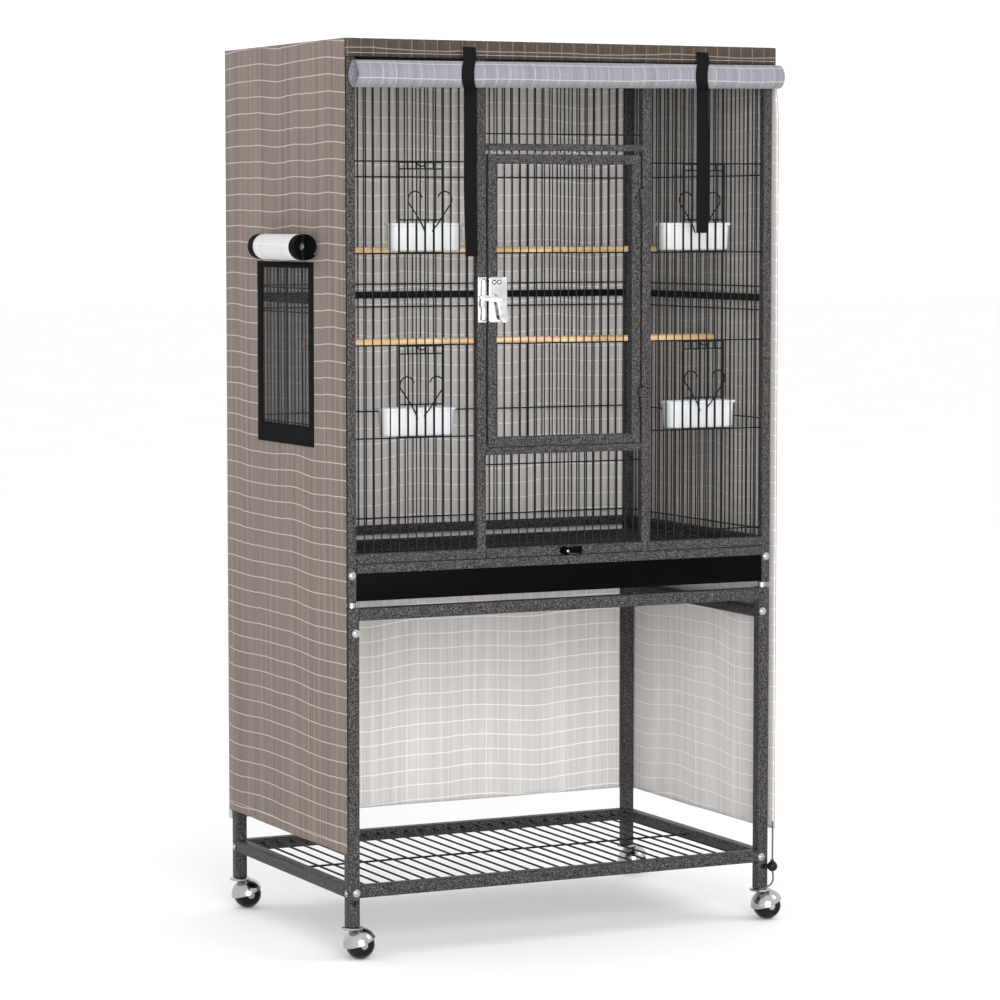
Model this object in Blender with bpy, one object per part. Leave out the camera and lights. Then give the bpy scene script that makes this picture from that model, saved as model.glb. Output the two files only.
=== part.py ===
"""A bird cage on a wheeled stand, under a fabric cover whose front flap is rolled up.

Metres, +Z up, floor at z = 0. Everything is modelled about the middle of the cage, and one
empty, cage_middle, moves it so that the origin is under the middle of the overall box.
The front is at -Y. Thin wires cross the rods without touching them, because both are held
by the tubes at their ends.
"""

import math

import bmesh
import bpy
from mathutils import Matrix, Vector

# ---- Overall sizes
WIDTH = 0.785  # over the corner posts, along X
DEPTH = 0.507  # over the corner posts, along Y
TOUCH = 0.0003  # between pieces that rest on each other
SLIDE = 0.0008  # beside a piece that slides

# ---- Stand
LEG = 0.020  # square leg tube
LEG_FOOT = 0.055
LEG_TOP = 0.575
SPACER_R = 0.007  # plug between a leg and the cage post above it
SPACER_H = 0.0087
STAND_RAIL_TOP = 0.574
SIDE_RAIL_TOP = 0.541
SIDE_RAIL_H = 0.018
SHELF_TOP = 0.121
SHELF_RAIL = 0.020
SHELF_WIRE = 0.0035
SHELF_PITCH = 0.028
GUSSET = 0.011

# ---- Casters
BALL_R = 0.024
BALL_HALF_W = 0.018
BALL_SIDES = 16
BALL_FLAT = 0.3  # share of the wheel's width that is its tread
BALL_RIBS = (-1.0, -0.7, -BALL_FLAT, BALL_FLAT, 0.7, 1.0)
HOOD_IN = 0.0266
HOOD_OUT = 0.0281
HOOD_TILT = math.radians(20)
HOOD_POLE, HOOD_RIM = math.radians(12), math.radians(92)  # angles down from the hood's top
TRAIL = 0.014
STEM_R = 0.006

# ---- Cage frame and wires
TUBE = 0.0155
POST_FOOT = LEG_TOP + SPACER_H + TOUCH
CAGE_TOP = 1.480
WIRE = 0.0023
PITCH = 0.0151
PLANE = 0.0035  # from a panel's outer face to the middle of its wires
STICK_OUT = 0.003  # wires pass this far beyond the rails beside the door
BAND_LOW, BAND_HIGH = 1.062, 1.074
BAND_T = 0.0014
SIDE_RODS = (0.674, 0.863, 1.047, 1.087, 1.275)
RIM_W, RIM_H = 0.012, 0.008

# ---- Tray, grate and what carries them
RUNNER_T = 0.0013
RUNNER_W = 0.038
RUNNER_SHORT = 0.0235  # a runner ends this far short of the cage's front and back
TRAY_WALL = 0.002
TRAY_TOP = 0.630
TRAY_SHORT = 0.0185  # the tray ends this far short of the cage's back
GRATE_BAR = 0.008

# ---- Doorway and door
DOORWAY_HALF = 0.1445
DOOR_POST = 0.0165
SILL_LOW, SILL_HIGH = 0.816, 0.828
HEAD_LOW, HEAD_HIGH = 1.313, 1.324
FRONT_RODS = (0.678, 0.848, 0.998, 1.146, 1.294)
DOOR_RODS = (0.998, 1.146)
OVER_DOOR_ROD, UNDER_DOOR_ROD = 1.340, 0.800
DOOR_GAP = 0.0035  # beside the door
GAP_UNDER, GAP_OVER = 0.001, 0.006  # under and over the door
DOOR_TUBE = 0.016
HINGE_OUT = 0.0048  # hinge axis, in front of the cage
HINGE_Z = (0.905, 1.235)
KNUCKLE_R, KNUCKLE_H = 0.0042, 0.016
PIN_R, PIN_BORE = 0.002, 0.0024

# ---- Feeder doors, cups and hangers
FEEDER_IN = 0.011  # a feeder door's middle is this far inwards of the middle of its bay
FEEDER_LEVELS = {"lower": (0.848, 0.998), "upper": (1.146, 1.294)}
FEEDER_PITCHES = 5
FEEDER_SILL = 0.054  # from the rod under a feeder door up to its hole
FEEDER_HOLE_H = 0.082
FEEDER_WIRE = 0.0026
FEEDER_LAP = 0.0015
PULL_W, PULL_H, PULL_OUT = 0.016, 0.007, 0.004
CUP_W, CUP_D, CUP_H = 0.128, 0.040, 0.046
CUP_WALL, CUP_CORNER, CUP_DRAFT = 0.002, 0.014, 0.004
CUP_BACK_OF_FRONT = 0.019  # from the cage's front face to the cup
CUPS = {  # side, how far inwards of the middle of the bay, height of the base
    "lower_left": (-1, 0.016, 0.849),
    "upper_left": (-1, 0.031, 1.149),
    "lower_right": (1, -0.004, 0.849),
    "upper_right": (1, 0.007, 1.149),
}
HEART_W, HEART_H, HEART_WIRE = 0.078, 0.070, 0.0026
HEART_LIFT = 0.027  # from the cup's base up to the heart's point

# ---- Latch and tray catch
LATCH_Z = 1.070
LATCH_IN = 0.017  # from the door's edge to the lever's pivot
PLATE_T = 0.0015
PLATE_HALF_H = 0.037
KEEPER_R, KEEPER_HALF_H = 0.004, 0.033
LEVER_T, LEVER_GAP = 0.003, 0.001
LEVER_BOSS_R, LEVER_ARM_R, LEVER_TIP_R, LEVER_GRIP_R = 0.006, 0.0045, 0.0035, 0.0075
LEVER_RISE, LEVER_HOOK, LEVER_DROP, LEVER_LEAN = 0.004, 0.013, 0.030, 0.006
CATCH_X, CATCH_R, CATCH_LENGTH, CATCH_T = -0.003, 0.0072, 0.034, 0.002
CATCH_TIP_R = 0.0068
SCREW_R, SCREW_H = 0.0055, 0.009
WING_OUT = 0.0144  # from under the screw's head to its wing's edge

# ---- Perches
PERCH_R = 0.0065
PERCHES = {"perch_lower": (-0.118, 0.996), "perch_upper": (0.296, 1.147)}  # share of DEPTH, height

# ---- Cover
CLOTH = 0.0025
COVER_GAP = 0.0013
HEADROOM = 0.009  # from the cage's top to the cover's
VALANCE_H = 0.029
HEM_LEFT, HEM_REST = 0.175, 0.157
ROLL_R, ROLL_R_RIGHT = 0.0218, 0.0196  # the front roll is thinner to the right
ROLL_DROP, ROLL_DROP_RIGHT = 0.0575, 0.0500  # from the cover's top down to its axis
ROLL_SHORT, ROLL_PAST = 0.0025, 0.0010  # short of the cage's left side, past its right
STRAP_W, STRAP_T = 0.022, 0.0015
STRAP_LIFT = 0.0009  # between a strap and the roll
STRAP_BACK = 0.4  # how far behind the roll's axis a strap hangs, in its radii
STRAP_DROP = 0.011  # from the cover's top to where a strap is sewn on
STRAPS = {"strap_left": (-0.225, 1.141), "strap_right": (0.324, 1.178)}  # share of WIDTH, lower end
WINDOW_FRONT, WINDOW_BACK = -0.124, 0.111
WINDOW_LOW, WINDOW_HIGH = 0.831, 1.128
MESH_T = 0.0015
WINDOW_ROLL_R = 0.0222
WINDOW_ROLL = (-0.150, 0.050, 1.1565)  # front end, back end, height of its axis

# ---- Drawstring: its route is chosen by hand
CORD_D = 0.003
LOCK_R = 0.009
LOCK_AT = 4  # the route's point that the cord lock sits on
LOCK_POLE = math.radians(15)  # angle of the ring round each end of its bore
CORD_ROUTE = (  # from the cage's front right corner, height above the floor
    (0.0067, -0.0035, 0.1700),
    (0.0067, -0.0040, 0.1500),
    (0.0065, -0.0050, 0.1300),
    (0.0073, -0.0060, 0.1120),
    (0.0090, -0.0065, 0.0940),
    (0.0097, -0.0070, 0.0800),
    (0.0085, -0.0075, 0.0700),
    (0.0040, -0.0075, 0.0640),
    (-0.0030, -0.0060, 0.0610),
    (-0.0100, -0.0045, 0.0600),
    (-0.0170, -0.0037, 0.0595),
    (-0.0220, -0.0015, 0.0590),
    (-0.0237, 0.0025, 0.0588),
    (-0.0235, 0.0070, 0.0586),
    (-0.0219, 0.0110, 0.0585),
)

# ---- Places worked out from the sizes
FRONT, BACK = -DEPTH / 2, DEPTH / 2
INSIDE_X = WIDTH / 2 - TUBE  # inner face of a side
INSIDE_Y = DEPTH / 2 - TUBE
RUNNER_LOW = POST_FOOT + TOUCH
TRAY_LOW = RUNNER_LOW + RUNNER_T + TOUCH
GRATE_LOW = TRAY_TOP + TOUCH
GRATE_HIGH = GRATE_LOW + TUBE
RAIL_LOW = GRATE_HIGH + 2 * TOUCH
RAIL_HIGH = RAIL_LOW + TUBE
TOP_RAIL = CAGE_TOP - TUBE
WIRE_Y = FRONT + PLANE
ROD_STEP = WIRE + TOUCH  # from the middle of the wires to the middle of the rods
POST_OUT = DOORWAY_HALF + DOOR_POST
BAY_X = (POST_OUT + INSIDE_X) / 2  # middle of the bay beside the doorway
DOOR_HALF = DOORWAY_HALF - DOOR_GAP
DOOR_LOW, DOOR_HIGH = SILL_HIGH + GAP_UNDER, HEAD_LOW - GAP_OVER
LATCH_X = LATCH_IN - DOOR_HALF
KEEPER_X = -DOORWAY_HALF - DOOR_POST / 2 - TOUCH
RUNNER_HALF = DEPTH / 2 - RUNNER_SHORT
TRAY_BACK = DEPTH / 2 - TRAY_SHORT
HINGE = (DOOR_HALF + (DOORWAY_HALF - DOOR_HALF) / 2, FRONT - HINGE_OUT)
LEG_X, LEG_Y = (WIDTH - LEG) / 2, (DEPTH - LEG) / 2
COVER_X = WIDTH / 2 + COVER_GAP + CLOTH
COVER_TOP = CAGE_TOP + HEADROOM
VALANCE_LOW = COVER_TOP - VALANCE_H
ROLL_LEFT, ROLL_RIGHT = ROLL_SHORT - WIDTH / 2, WIDTH / 2 + ROLL_PAST
CORNERS = {
    "front_left": (-1, -1),
    "front_right": (1, -1),
    "back_left": (-1, 1),
    "back_right": (1, 1),
}


# ---------------------------------------------------------------- materials
def finish(name, colour, roughness, metallic=0.0):
    material = bpy.data.materials.new(name)
    material.use_nodes = True
    shader = material.node_tree.nodes["Principled BSDF"]
    shader.inputs["Base Color"].default_value = (*colour, 1.0)
    shader.inputs["Roughness"].default_value = roughness
    shader.inputs["Metallic"].default_value = metallic
    return material


# ---------------------------------------------------------------- solids
def loft(bm, rings):
    """A closed solid through rings of points, with a face over the first and the last."""
    rows = [[bm.verts.new(point) for point in ring] for ring in rings]
    count = len(rows[0])
    for low, high in zip(rows, rows[1:]):
        for i in range(count):
            j = (i + 1) % count
            bm.faces.new((low[i], low[j], high[j], high[i]))
    bm.faces.new(list(reversed(rows[0])))
    bm.faces.new(rows[-1])


def lift(outline, axis, at):
    """Points of a flat outline, put on the plane across an axis at one place."""
    order = {"x": lambda u, v: (at, u, v), "y": lambda u, v: (u, at, v), "z": lambda u, v: (u, v, at)}
    return [order[axis](u, v) for u, v in outline]


def prism(bm, outline, axis, start, end):
    loft(bm, [lift(outline, axis, start), lift(outline, axis, end)])


def rectangle(u0, v0, u1, v1):
    return [(u0, v0), (u1, v0), (u1, v1), (u0, v1)]


def box(bm, corner, opposite):
    (x0, y0, z0), (x1, y1, z1) = corner, opposite
    prism(bm, rectangle(x0, y0, x1, y1), "z", z0, z1)


def bar(bm, axis, centre, start, end, size):
    """A square bar along an axis, about a centre given in the other two."""
    u, v = centre
    half = size / 2
    prism(bm, rectangle(u - half, v - half, u + half, v + half), axis, start, end)


def circle(radius, count, centre=(0.0, 0.0), turn=0.0):
    angles = [turn + 2 * math.pi * i / count for i in range(count)]
    return [(centre[0] + radius * math.cos(a), centre[1] + radius * math.sin(a)) for a in angles]


def capsule(start, end, radius, steps=5):
    """The outline of a straight bar with round ends."""
    along = math.atan2(end[1] - start[1], end[0] - start[0])
    outline = []
    for (u, v), first in ((end, along - math.pi / 2), (start, along + math.pi / 2)):
        for i in range(steps + 1):
            a = first + math.pi * i / steps
            outline.append((u + radius * math.cos(a), v + radius * math.sin(a)))
    return outline


def rounded(width, depth, corner, steps=3):
    """A rectangle's outline with round corners, about (0, 0)."""
    outline = []
    for i, (sx, sy) in enumerate(((1, 1), (-1, 1), (-1, -1), (1, -1))):
        for step in range(steps + 1):
            a = math.pi / 2 * (i + step / steps)
            outline.append(
                (
                    sx * (width / 2 - corner) + corner * math.cos(a),
                    sy * (depth / 2 - corner) + corner * math.sin(a),
                )
            )
    return outline


def spread(start, end, pitch):
    """Even places between two ends, as near to a pitch as the room allows."""
    gaps = max(1, round((end - start) / pitch))
    return [start + (end - start) * i / gaps for i in range(1, gaps)]


def solid():
    return bmesh.new()


def combine(base, tool, operation="UNION"):
    """What a Boolean makes of two meshes, which it uses up."""
    operands = []
    for bm in (base, tool):
        bmesh.ops.recalc_face_normals(bm, faces=bm.faces)
        mesh = bpy.data.meshes.new("operand")
        bm.to_mesh(mesh)
        bm.free()
        operand = bpy.data.objects.new("operand", mesh)
        bpy.context.scene.collection.objects.link(operand)
        operands.append(operand)
    modifier = operands[0].modifiers.new("Boolean", "BOOLEAN")
    modifier.operation = operation
    modifier.solver = "EXACT"
    modifier.object = operands[1]
    result = bmesh.new()
    result.from_object(operands[0], bpy.context.evaluated_depsgraph_get())
    for operand in operands:
        mesh = operand.data
        bpy.data.objects.remove(operand)
        bpy.data.meshes.remove(mesh)
    return result


def fused(*parts):
    """One body from meshes that overlap in turn."""
    whole = parts[0]
    for part in parts[1:]:
        whole = combine(whole, part)
    return whole


# ---------------------------------------------------------------- objects
pivots = {}


def node(name, bm, material, pivot=(0.0, 0.0, 0.0), parent="cage_middle"):
    """An object whose origin is at its pivot, hung from its parent."""
    bmesh.ops.recalc_face_normals(bm, faces=bm.faces)
    bmesh.ops.translate(bm, vec=-Vector(pivot), verts=bm.verts)
    mesh = bpy.data.meshes.new(name)
    bm.to_mesh(mesh)
    bm.free()
    mesh.shade_smooth()
    mesh.set_sharp_from_angle(angle=math.radians(35))
    mesh.materials.append(material)
    return place(name, mesh, pivot, parent)


def place(name, data, pivot, parent):
    item = bpy.data.objects.new(name, data)
    bpy.context.scene.collection.objects.link(item)
    item.parent = bpy.data.objects[parent]
    item.location = Vector(pivot) - pivots[parent]
    pivots[name] = Vector(pivot)
    return item


# ---------------------------------------------------------------- stand
def make_stand(steel):
    for name, (sx, sy) in CORNERS.items():
        leg, spacer = solid(), solid()
        bar(leg, "z", (sx * LEG_X, sy * LEG_Y), LEG_FOOT, LEG_TOP, LEG)
        outline = circle(SPACER_R, 10, (sx * LEG_X, sy * LEG_Y))
        prism(spacer, outline, "z", LEG_TOP - LEG / 2, LEG_TOP + SPACER_H)
        node(f"leg_{name}", fused(leg, spacer), steel)

    reach_x = WIDTH / 2 - LEG - TOUCH
    reach_y = DEPTH / 2 - LEG - TOUCH
    for name, sy in (("front", -1), ("back", 1)):
        rail = solid()
        bar(rail, "x", (sy * LEG_Y, STAND_RAIL_TOP - LEG / 2), -reach_x, reach_x, LEG)
        node(f"stand_rail_{name}", rail, steel)
    for name, sx in (("left", -1), ("right", 1)):
        rail = solid()
        inner, outer = sx * (WIDTH / 2 - LEG), sx * WIDTH / 2
        box(rail, (inner, -reach_y, SIDE_RAIL_TOP - SIDE_RAIL_H), (outer, reach_y, SIDE_RAIL_TOP))
        node(f"stand_rail_{name}", rail, steel)

    level = SHELF_TOP - SHELF_RAIL / 2
    ends, sides, gussets, wires = solid(), solid(), solid(), solid()
    for s in (-1, 1):
        bar(ends, "x", (s * LEG_Y, level), -reach_x, reach_x, SHELF_RAIL)
        bar(sides, "y", (s * LEG_X, level), -reach_y, reach_y, SHELF_RAIL)
    bracing = solid()
    for sx, sy in CORNERS.values():
        x_in, y_in = sx * (reach_x - GUSSET), sy * (reach_y - GUSSET)
        low, high = level - SHELF_RAIL / 4, level + SHELF_RAIL / 4
        box(gussets, (x_in, y_in, low), (sx * reach_x, sy * (reach_y + GUSSET), high))
        low, high = low + TOUCH, high - TOUCH
        box(bracing, (x_in + sx * TOUCH, y_in + sy * TOUCH, low),
            (sx * (reach_x + GUSSET), sy * reach_y, high))
    wire_z = SHELF_TOP - 2 * SHELF_WIRE
    for x in spread(-reach_x, reach_x, SHELF_PITCH):
        bar(wires, "y", (x, wire_z), -LEG_Y, LEG_Y, SHELF_WIRE)
    bar(wires, "x", (0.0, wire_z - SHELF_WIRE - TOUCH), -LEG_X, LEG_X, SHELF_WIRE)
    node("shelf_rack", fused(ends, gussets, bracing, sides, wires), steel)


def ball_rings(radius, first, last, steps, sides):
    """Rings of a ball about (0, 0, 0) from one polar angle to another, down the +Z axis."""
    rings = []
    for i in range(steps + 1):
        polar = first + (last - first) * i / steps
        outline = circle(radius * math.sin(polar), sides)
        rings.append(lift(outline, "z", radius * math.cos(polar)))
    return rings


def make_casters(chrome, rubber):
    for name, (sx, sy) in CORNERS.items():
        stem_at = (sx * LEG_X, sy * LEG_Y)
        ball_at = Vector((stem_at[0] + TRAIL, stem_at[1], BALL_R))

        hood = solid()
        outside = ball_rings(HOOD_OUT, HOOD_POLE, HOOD_RIM, 5, 12)
        loft(hood, outside + ball_rings(HOOD_IN, HOOD_RIM, HOOD_POLE, 5, 12))
        tilt = Matrix.Translation(ball_at) @ Matrix.Rotation(-HOOD_TILT, 4, "Y")
        bmesh.ops.transform(hood, matrix=tilt, verts=hood.verts)
        stem, room = solid(), solid()
        prism(stem, circle(STEM_R, 10, stem_at), "z", BALL_R + HOOD_IN / 2, LEG_FOOT - TOUCH)
        bmesh.ops.create_uvsphere(room, u_segments=16, v_segments=10, radius=HOOD_IN - TOUCH)
        bmesh.ops.translate(room, vec=ball_at, verts=room.verts)
        stem = combine(stem, room, "DIFFERENCE")
        node(f"caster_hood_{name}", fused(hood, stem), chrome, (*stem_at, BALL_R))

        wheel = solid()
        rings = []
        outer = BALL_R / math.cos(math.pi / BALL_SIDES)  # so that a flat side meets the floor
        for across in BALL_RIBS:
            y = across * BALL_HALF_W
            radius = outer * math.sqrt(1 - (y / BALL_R) ** 2) if abs(across) > BALL_FLAT else outer
            ring = circle(radius, BALL_SIDES, (0.0, 0.0), math.pi / BALL_SIDES)
            rings.append(lift(ring, "y", y))
        loft(wheel, rings)
        bmesh.ops.translate(wheel, vec=ball_at, verts=wheel.verts)
        node(f"caster_wheel_{name}", wheel, rubber, ball_at, f"caster_hood_{name}")


# ---------------------------------------------------------------- cage panels
def make_side_panels(steel):
    """Each side holds the front post at its corner; the back posts belong to the back."""
    for name, side in (("left", -1), ("right", 1)):
        outer, inner = side * WIDTH / 2, side * INSIDE_X
        post, rails, wires = solid(), solid(), solid()
        box(post, (outer, FRONT, POST_FOOT), (inner, FRONT + TUBE, CAGE_TOP))
        for low, high in ((RAIL_LOW, RAIL_HIGH), (TOP_RAIL, CAGE_TOP)):
            box(rails, (outer, FRONT + TUBE / 2, low), (inner, INSIDE_Y - TOUCH, high))
        wire_x = outer - side * PLANE
        for y in spread(-INSIDE_Y, INSIDE_Y, PITCH):
            bar(wires, "z", (wire_x, y), RAIL_HIGH - TUBE / 2, TOP_RAIL + TUBE / 2, WIRE)
        rod_x = wire_x - side * ROD_STEP
        for z in SIDE_RODS:
            bar(wires, "y", (rod_x, z), FRONT + TUBE / 2, INSIDE_Y - TOUCH, WIRE)
        near = wire_x - side * (WIRE / 2 + TOUCH)
        box(wires, (near, FRONT + TUBE / 2, BAND_LOW),
            (near - side * BAND_T, INSIDE_Y - TOUCH, BAND_HIGH))
        node(f"panel_{name}", fused(post, rails, wires), steel)


def make_back_panel(steel):
    posts, rails, wires = solid(), solid(), solid()
    for side in (-1, 1):
        box(posts, (side * WIDTH / 2, INSIDE_Y, POST_FOOT), (side * INSIDE_X, BACK, CAGE_TOP))
    reach = WIDTH / 2 - TUBE / 2
    for low, high in ((RAIL_LOW, RAIL_HIGH), (TOP_RAIL, CAGE_TOP)):
        box(rails, (-reach, INSIDE_Y, low), (reach, BACK, high))
    wire_y = BACK - PLANE
    for x in spread(-INSIDE_X, INSIDE_X, PITCH):
        bar(wires, "z", (x, wire_y), RAIL_HIGH - TUBE / 2, TOP_RAIL + TUBE / 2, WIRE)
    for z in SIDE_RODS:
        bar(wires, "x", (wire_y - ROD_STEP, z), -reach, reach, WIRE)
    near = wire_y - WIRE / 2 - TOUCH
    box(wires, (-reach, near - BAND_T, BAND_LOW), (reach, near, BAND_HIGH))
    node("panel_back", fused(posts, rails, wires), steel)


def make_top_panel(steel):
    x, y, low = INSIDE_X - TOUCH, INSIDE_Y - TOUCH, CAGE_TOP - RIM_H
    rim, middle, wires = solid(), solid(), solid()
    box(rim, (-x, -y, low), (x, y, CAGE_TOP))
    box(middle, (RIM_W - x, RIM_W - y, low - RIM_H), (x - RIM_W, y - RIM_W, CAGE_TOP + RIM_H))
    wire_z = CAGE_TOP - RIM_H / 2
    for wire_x in spread(RIM_W - x, x - RIM_W, PITCH):
        bar(wires, "y", (wire_x, wire_z), RIM_W / 2 - y, y - RIM_W / 2, WIRE)
    for rod_y in (-DEPTH / 6, DEPTH / 6):
        bar(wires, "x", (rod_y, wire_z - ROD_STEP), RIM_W / 2 - x, x - RIM_W / 2, WIRE)
    node("panel_top", fused(combine(rim, middle, "DIFFERENCE"), wires), steel)


def feeder_hole():
    """Wire places beside the doorway, and which of them a feeder hole takes out."""
    places = spread(POST_OUT, INSIDE_X, PITCH)
    middles = [
        (places[i] + places[i + FEEDER_PITCHES]) / 2 for i in range(len(places) - FEEDER_PITCHES)
    ]
    first = min(range(len(middles)), key=lambda i: abs(middles[i] - BAY_X + FEEDER_IN))
    return places, first, middles[first]


def make_front_panel(steel):
    """The front is four grilles about the doorway, so that the doorway stays open."""
    low_end, high_end = RAIL_HIGH - TUBE / 2, TOP_RAIL + TUBE / 2
    places, first, _ = feeder_hole()
    last = first + FEEDER_PITCHES
    holes = [
        (low + FEEDER_SILL, low + FEEDER_SILL + FEEDER_HOLE_H) for low, _ in FEEDER_LEVELS.values()
    ]
    for name, side in (("left", -1), ("right", 1)):
        post, rails, whole, trimmed, headers = solid(), solid(), solid(), solid(), solid()
        box(post, (side * DOORWAY_HALF, FRONT, RAIL_LOW), (side * POST_OUT, FRONT + TUBE, CAGE_TOP))
        corner = side * (INSIDE_X - TOUCH)
        for low, high in ((RAIL_LOW, RAIL_HIGH), (TOP_RAIL, CAGE_TOP)):
            box(rails, (side * (POST_OUT - TUBE / 2), FRONT, low), (corner, FRONT + TUBE, high))
        for i, place_x in enumerate(places):
            centre = (side * place_x, WIRE_Y)
            if not first < i < last:
                bar(whole, "z", centre, low_end, high_end, WIRE)
                continue
            ends = [low_end, *(z for hole in holes for z in hole), high_end]
            for start, end in zip(ends[::2], ends[1::2]):
                bar(trimmed, "z", centre, start, end, WIRE)
        for z in FRONT_RODS:
            rod_end = side * (POST_OUT - TUBE / 2)
            bar(whole, "x", (WIRE_Y + ROD_STEP, z), *sorted((rod_end, corner)), WIRE)
        for z in (z for hole in holes for z in hole):
            header_ends = sorted((side * places[first], side * places[last]))
            bar(headers, "x", (WIRE_Y, z), *header_ends, WIRE - TOUCH / 2)
        node(f"grille_{name}", fused(post, rails, whole, headers, trimmed), steel)

    reach = DOORWAY_HALF - TOUCH
    spans = (
        ("over_door", HEAD_LOW, HEAD_HIGH, TOP_RAIL, CAGE_TOP, OVER_DOOR_ROD),
        ("under_door", SILL_LOW, SILL_HIGH, RAIL_LOW, RAIL_HIGH, UNDER_DOOR_ROD),
    )
    for name, low, high, far_low, far_high, rod_z in spans:
        rails, ties, wires = solid(), solid(), solid()
        box(rails, (-reach, FRONT, low), (reach, FRONT + TUBE, high))
        box(rails, (-reach, FRONT, far_low), (reach, FRONT + TUBE, far_high))
        beyond = low - STICK_OUT if name == "over_door" else high + STICK_OUT / 4
        start, end = sorted((beyond, (far_low + far_high) / 2))
        for x in spread(-DOORWAY_HALF, DOORWAY_HALF, PITCH):
            bar(wires, "z", (x, WIRE_Y), start, end, WIRE)
        tie_low, tie_high = sorted(((low + high) / 2, (far_low + far_high) / 2))
        tie_y = WIRE_Y + ROD_STEP
        for side in (-1, 1):
            bar(ties, "z", (side * (reach - 2 * WIRE), tie_y), tie_low, tie_high, WIRE)
        rod = solid()
        bar(rod, "x", (tie_y, rod_z), WIRE - reach, reach - WIRE, WIRE - TOUCH)
        node(f"grille_{name}", fused(rails, wires, ties, rod), steel)


# ---------------------------------------------------------------- door
def knuckle(low, lug_to, bore_r):
    """A hinge knuckle and its lug; lug_to is where the lug ends along X."""
    x, y = HINGE
    barrel, lug = solid(), solid()
    prism(barrel, circle(KNUCKLE_R, 10, HINGE), "z", low, low + KNUCKLE_H)
    ends = rectangle(x, y - KNUCKLE_R / 2, lug_to, FRONT + 2 * TOUCH)
    prism(lug, ends, "z", low + TOUCH, low + KNUCKLE_H - TOUCH)
    whole = fused(barrel, lug)
    if not bore_r:
        return whole
    bore = solid()
    prism(bore, circle(bore_r, 8, HINGE), "z", low - KNUCKLE_H, low + 2 * KNUCKLE_H)
    return combine(whole, bore, "DIFFERENCE")


def make_door(steel):
    frame, middle, wires = solid(), solid(), solid()
    box(frame, (-DOOR_HALF, FRONT, DOOR_LOW), (DOOR_HALF, FRONT + DOOR_TUBE, DOOR_HIGH))
    inner = DOOR_HALF - DOOR_TUBE
    low, high = DOOR_LOW + DOOR_TUBE, DOOR_HIGH - DOOR_TUBE
    box(middle, (-inner, FRONT - TUBE, low), (inner, FRONT + 2 * TUBE, high))
    for x in spread(-inner, inner, PITCH):
        bar(wires, "z", (x, WIRE_Y), low - DOOR_TUBE / 2, high + DOOR_TUBE / 2, WIRE)
    for z in DOOR_RODS:
        reach = inner + DOOR_TUBE / 2
        bar(wires, "x", (WIRE_Y + ROD_STEP, z), -reach, reach, WIRE)
    door = fused(combine(frame, middle, "DIFFERENCE"), wires)
    for z in HINGE_Z:
        pin = solid()
        prism(pin, circle(PIN_R, 8, HINGE), "z", z - KNUCKLE_H, z + KNUCKLE_H / 2)
        door = fused(door, knuckle(z, DOOR_HALF - DOOR_TUBE / 2, None), pin)
    node("door", door, steel, (*HINGE, DOOR_LOW))


def add_post_knuckles(steel):
    """The knuckles that carry the door's pins are welded to the right door post."""
    post = bpy.data.objects["grille_right"]
    whole = solid()
    whole.from_mesh(post.data)
    for z in HINGE_Z:
        whole = fused(whole, knuckle(z - KNUCKLE_H - TOUCH, DOORWAY_HALF + DOOR_POST / 2, PIN_BORE))
    bpy.data.objects.remove(post)
    node("grille_right", whole, steel)


def make_latch(chrome):
    face = FRONT - TOUCH
    plate, keeper_plate, keeper = solid(), solid(), solid()
    low, high = LATCH_Z - PLATE_HALF_H, LATCH_Z + PLATE_HALF_H
    right = 2 * LATCH_X + DOOR_HALF - TOUCH
    box(plate, (-DOOR_HALF + TOUCH, face - PLATE_T, low), (right, face, high))
    node("latch_plate", plate, chrome, (LATCH_X, face, LATCH_Z), "door")

    half_plate = DOOR_POST / 2 - 2 * TOUCH
    middle = -DOORWAY_HALF - DOOR_POST / 2
    box(keeper_plate, (middle - half_plate, face - PLATE_T, low),
        (middle + half_plate, face, high))
    keeper_y = face - PLATE_T - KEEPER_R + TOUCH
    ends = (LATCH_Z - KEEPER_HALF_H, LATCH_Z + KEEPER_HALF_H)
    prism(keeper, circle(KEEPER_R, 12, (KEEPER_X, keeper_y)), "z", *ends)
    node("latch_keeper", fused(keeper_plate, keeper), chrome)

    back = keeper_y - KEEPER_R - LEVER_GAP
    pivot = (LATCH_X, LATCH_Z)
    boss, arm, hook, grip = solid(), solid(), solid(), solid()
    front = back - LEVER_T
    prism(boss, circle(LEVER_BOSS_R, 12, pivot), "y", front - TOUCH, face - PLATE_T - TOUCH)
    tip = (KEEPER_X - KEEPER_R, LATCH_Z + LEVER_RISE)
    prism(arm, capsule(tip, pivot, LEVER_ARM_R), "y", front, back)
    hooked = (tip[0], tip[1] - LEVER_HOOK)
    prism(hook, capsule(tip, hooked, LEVER_TIP_R), "y", front + TOUCH, back - TOUCH)
    grip_end = (LATCH_X + LEVER_LEAN, LATCH_Z - LEVER_DROP)
    prism(grip, capsule(pivot, grip_end, LEVER_GRIP_R), "y", front - 2 * TOUCH, back - TOUCH)
    node("latch_lever", fused(boss, arm, hook, grip), chrome, (LATCH_X, back, LATCH_Z), "latch_plate")


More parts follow.
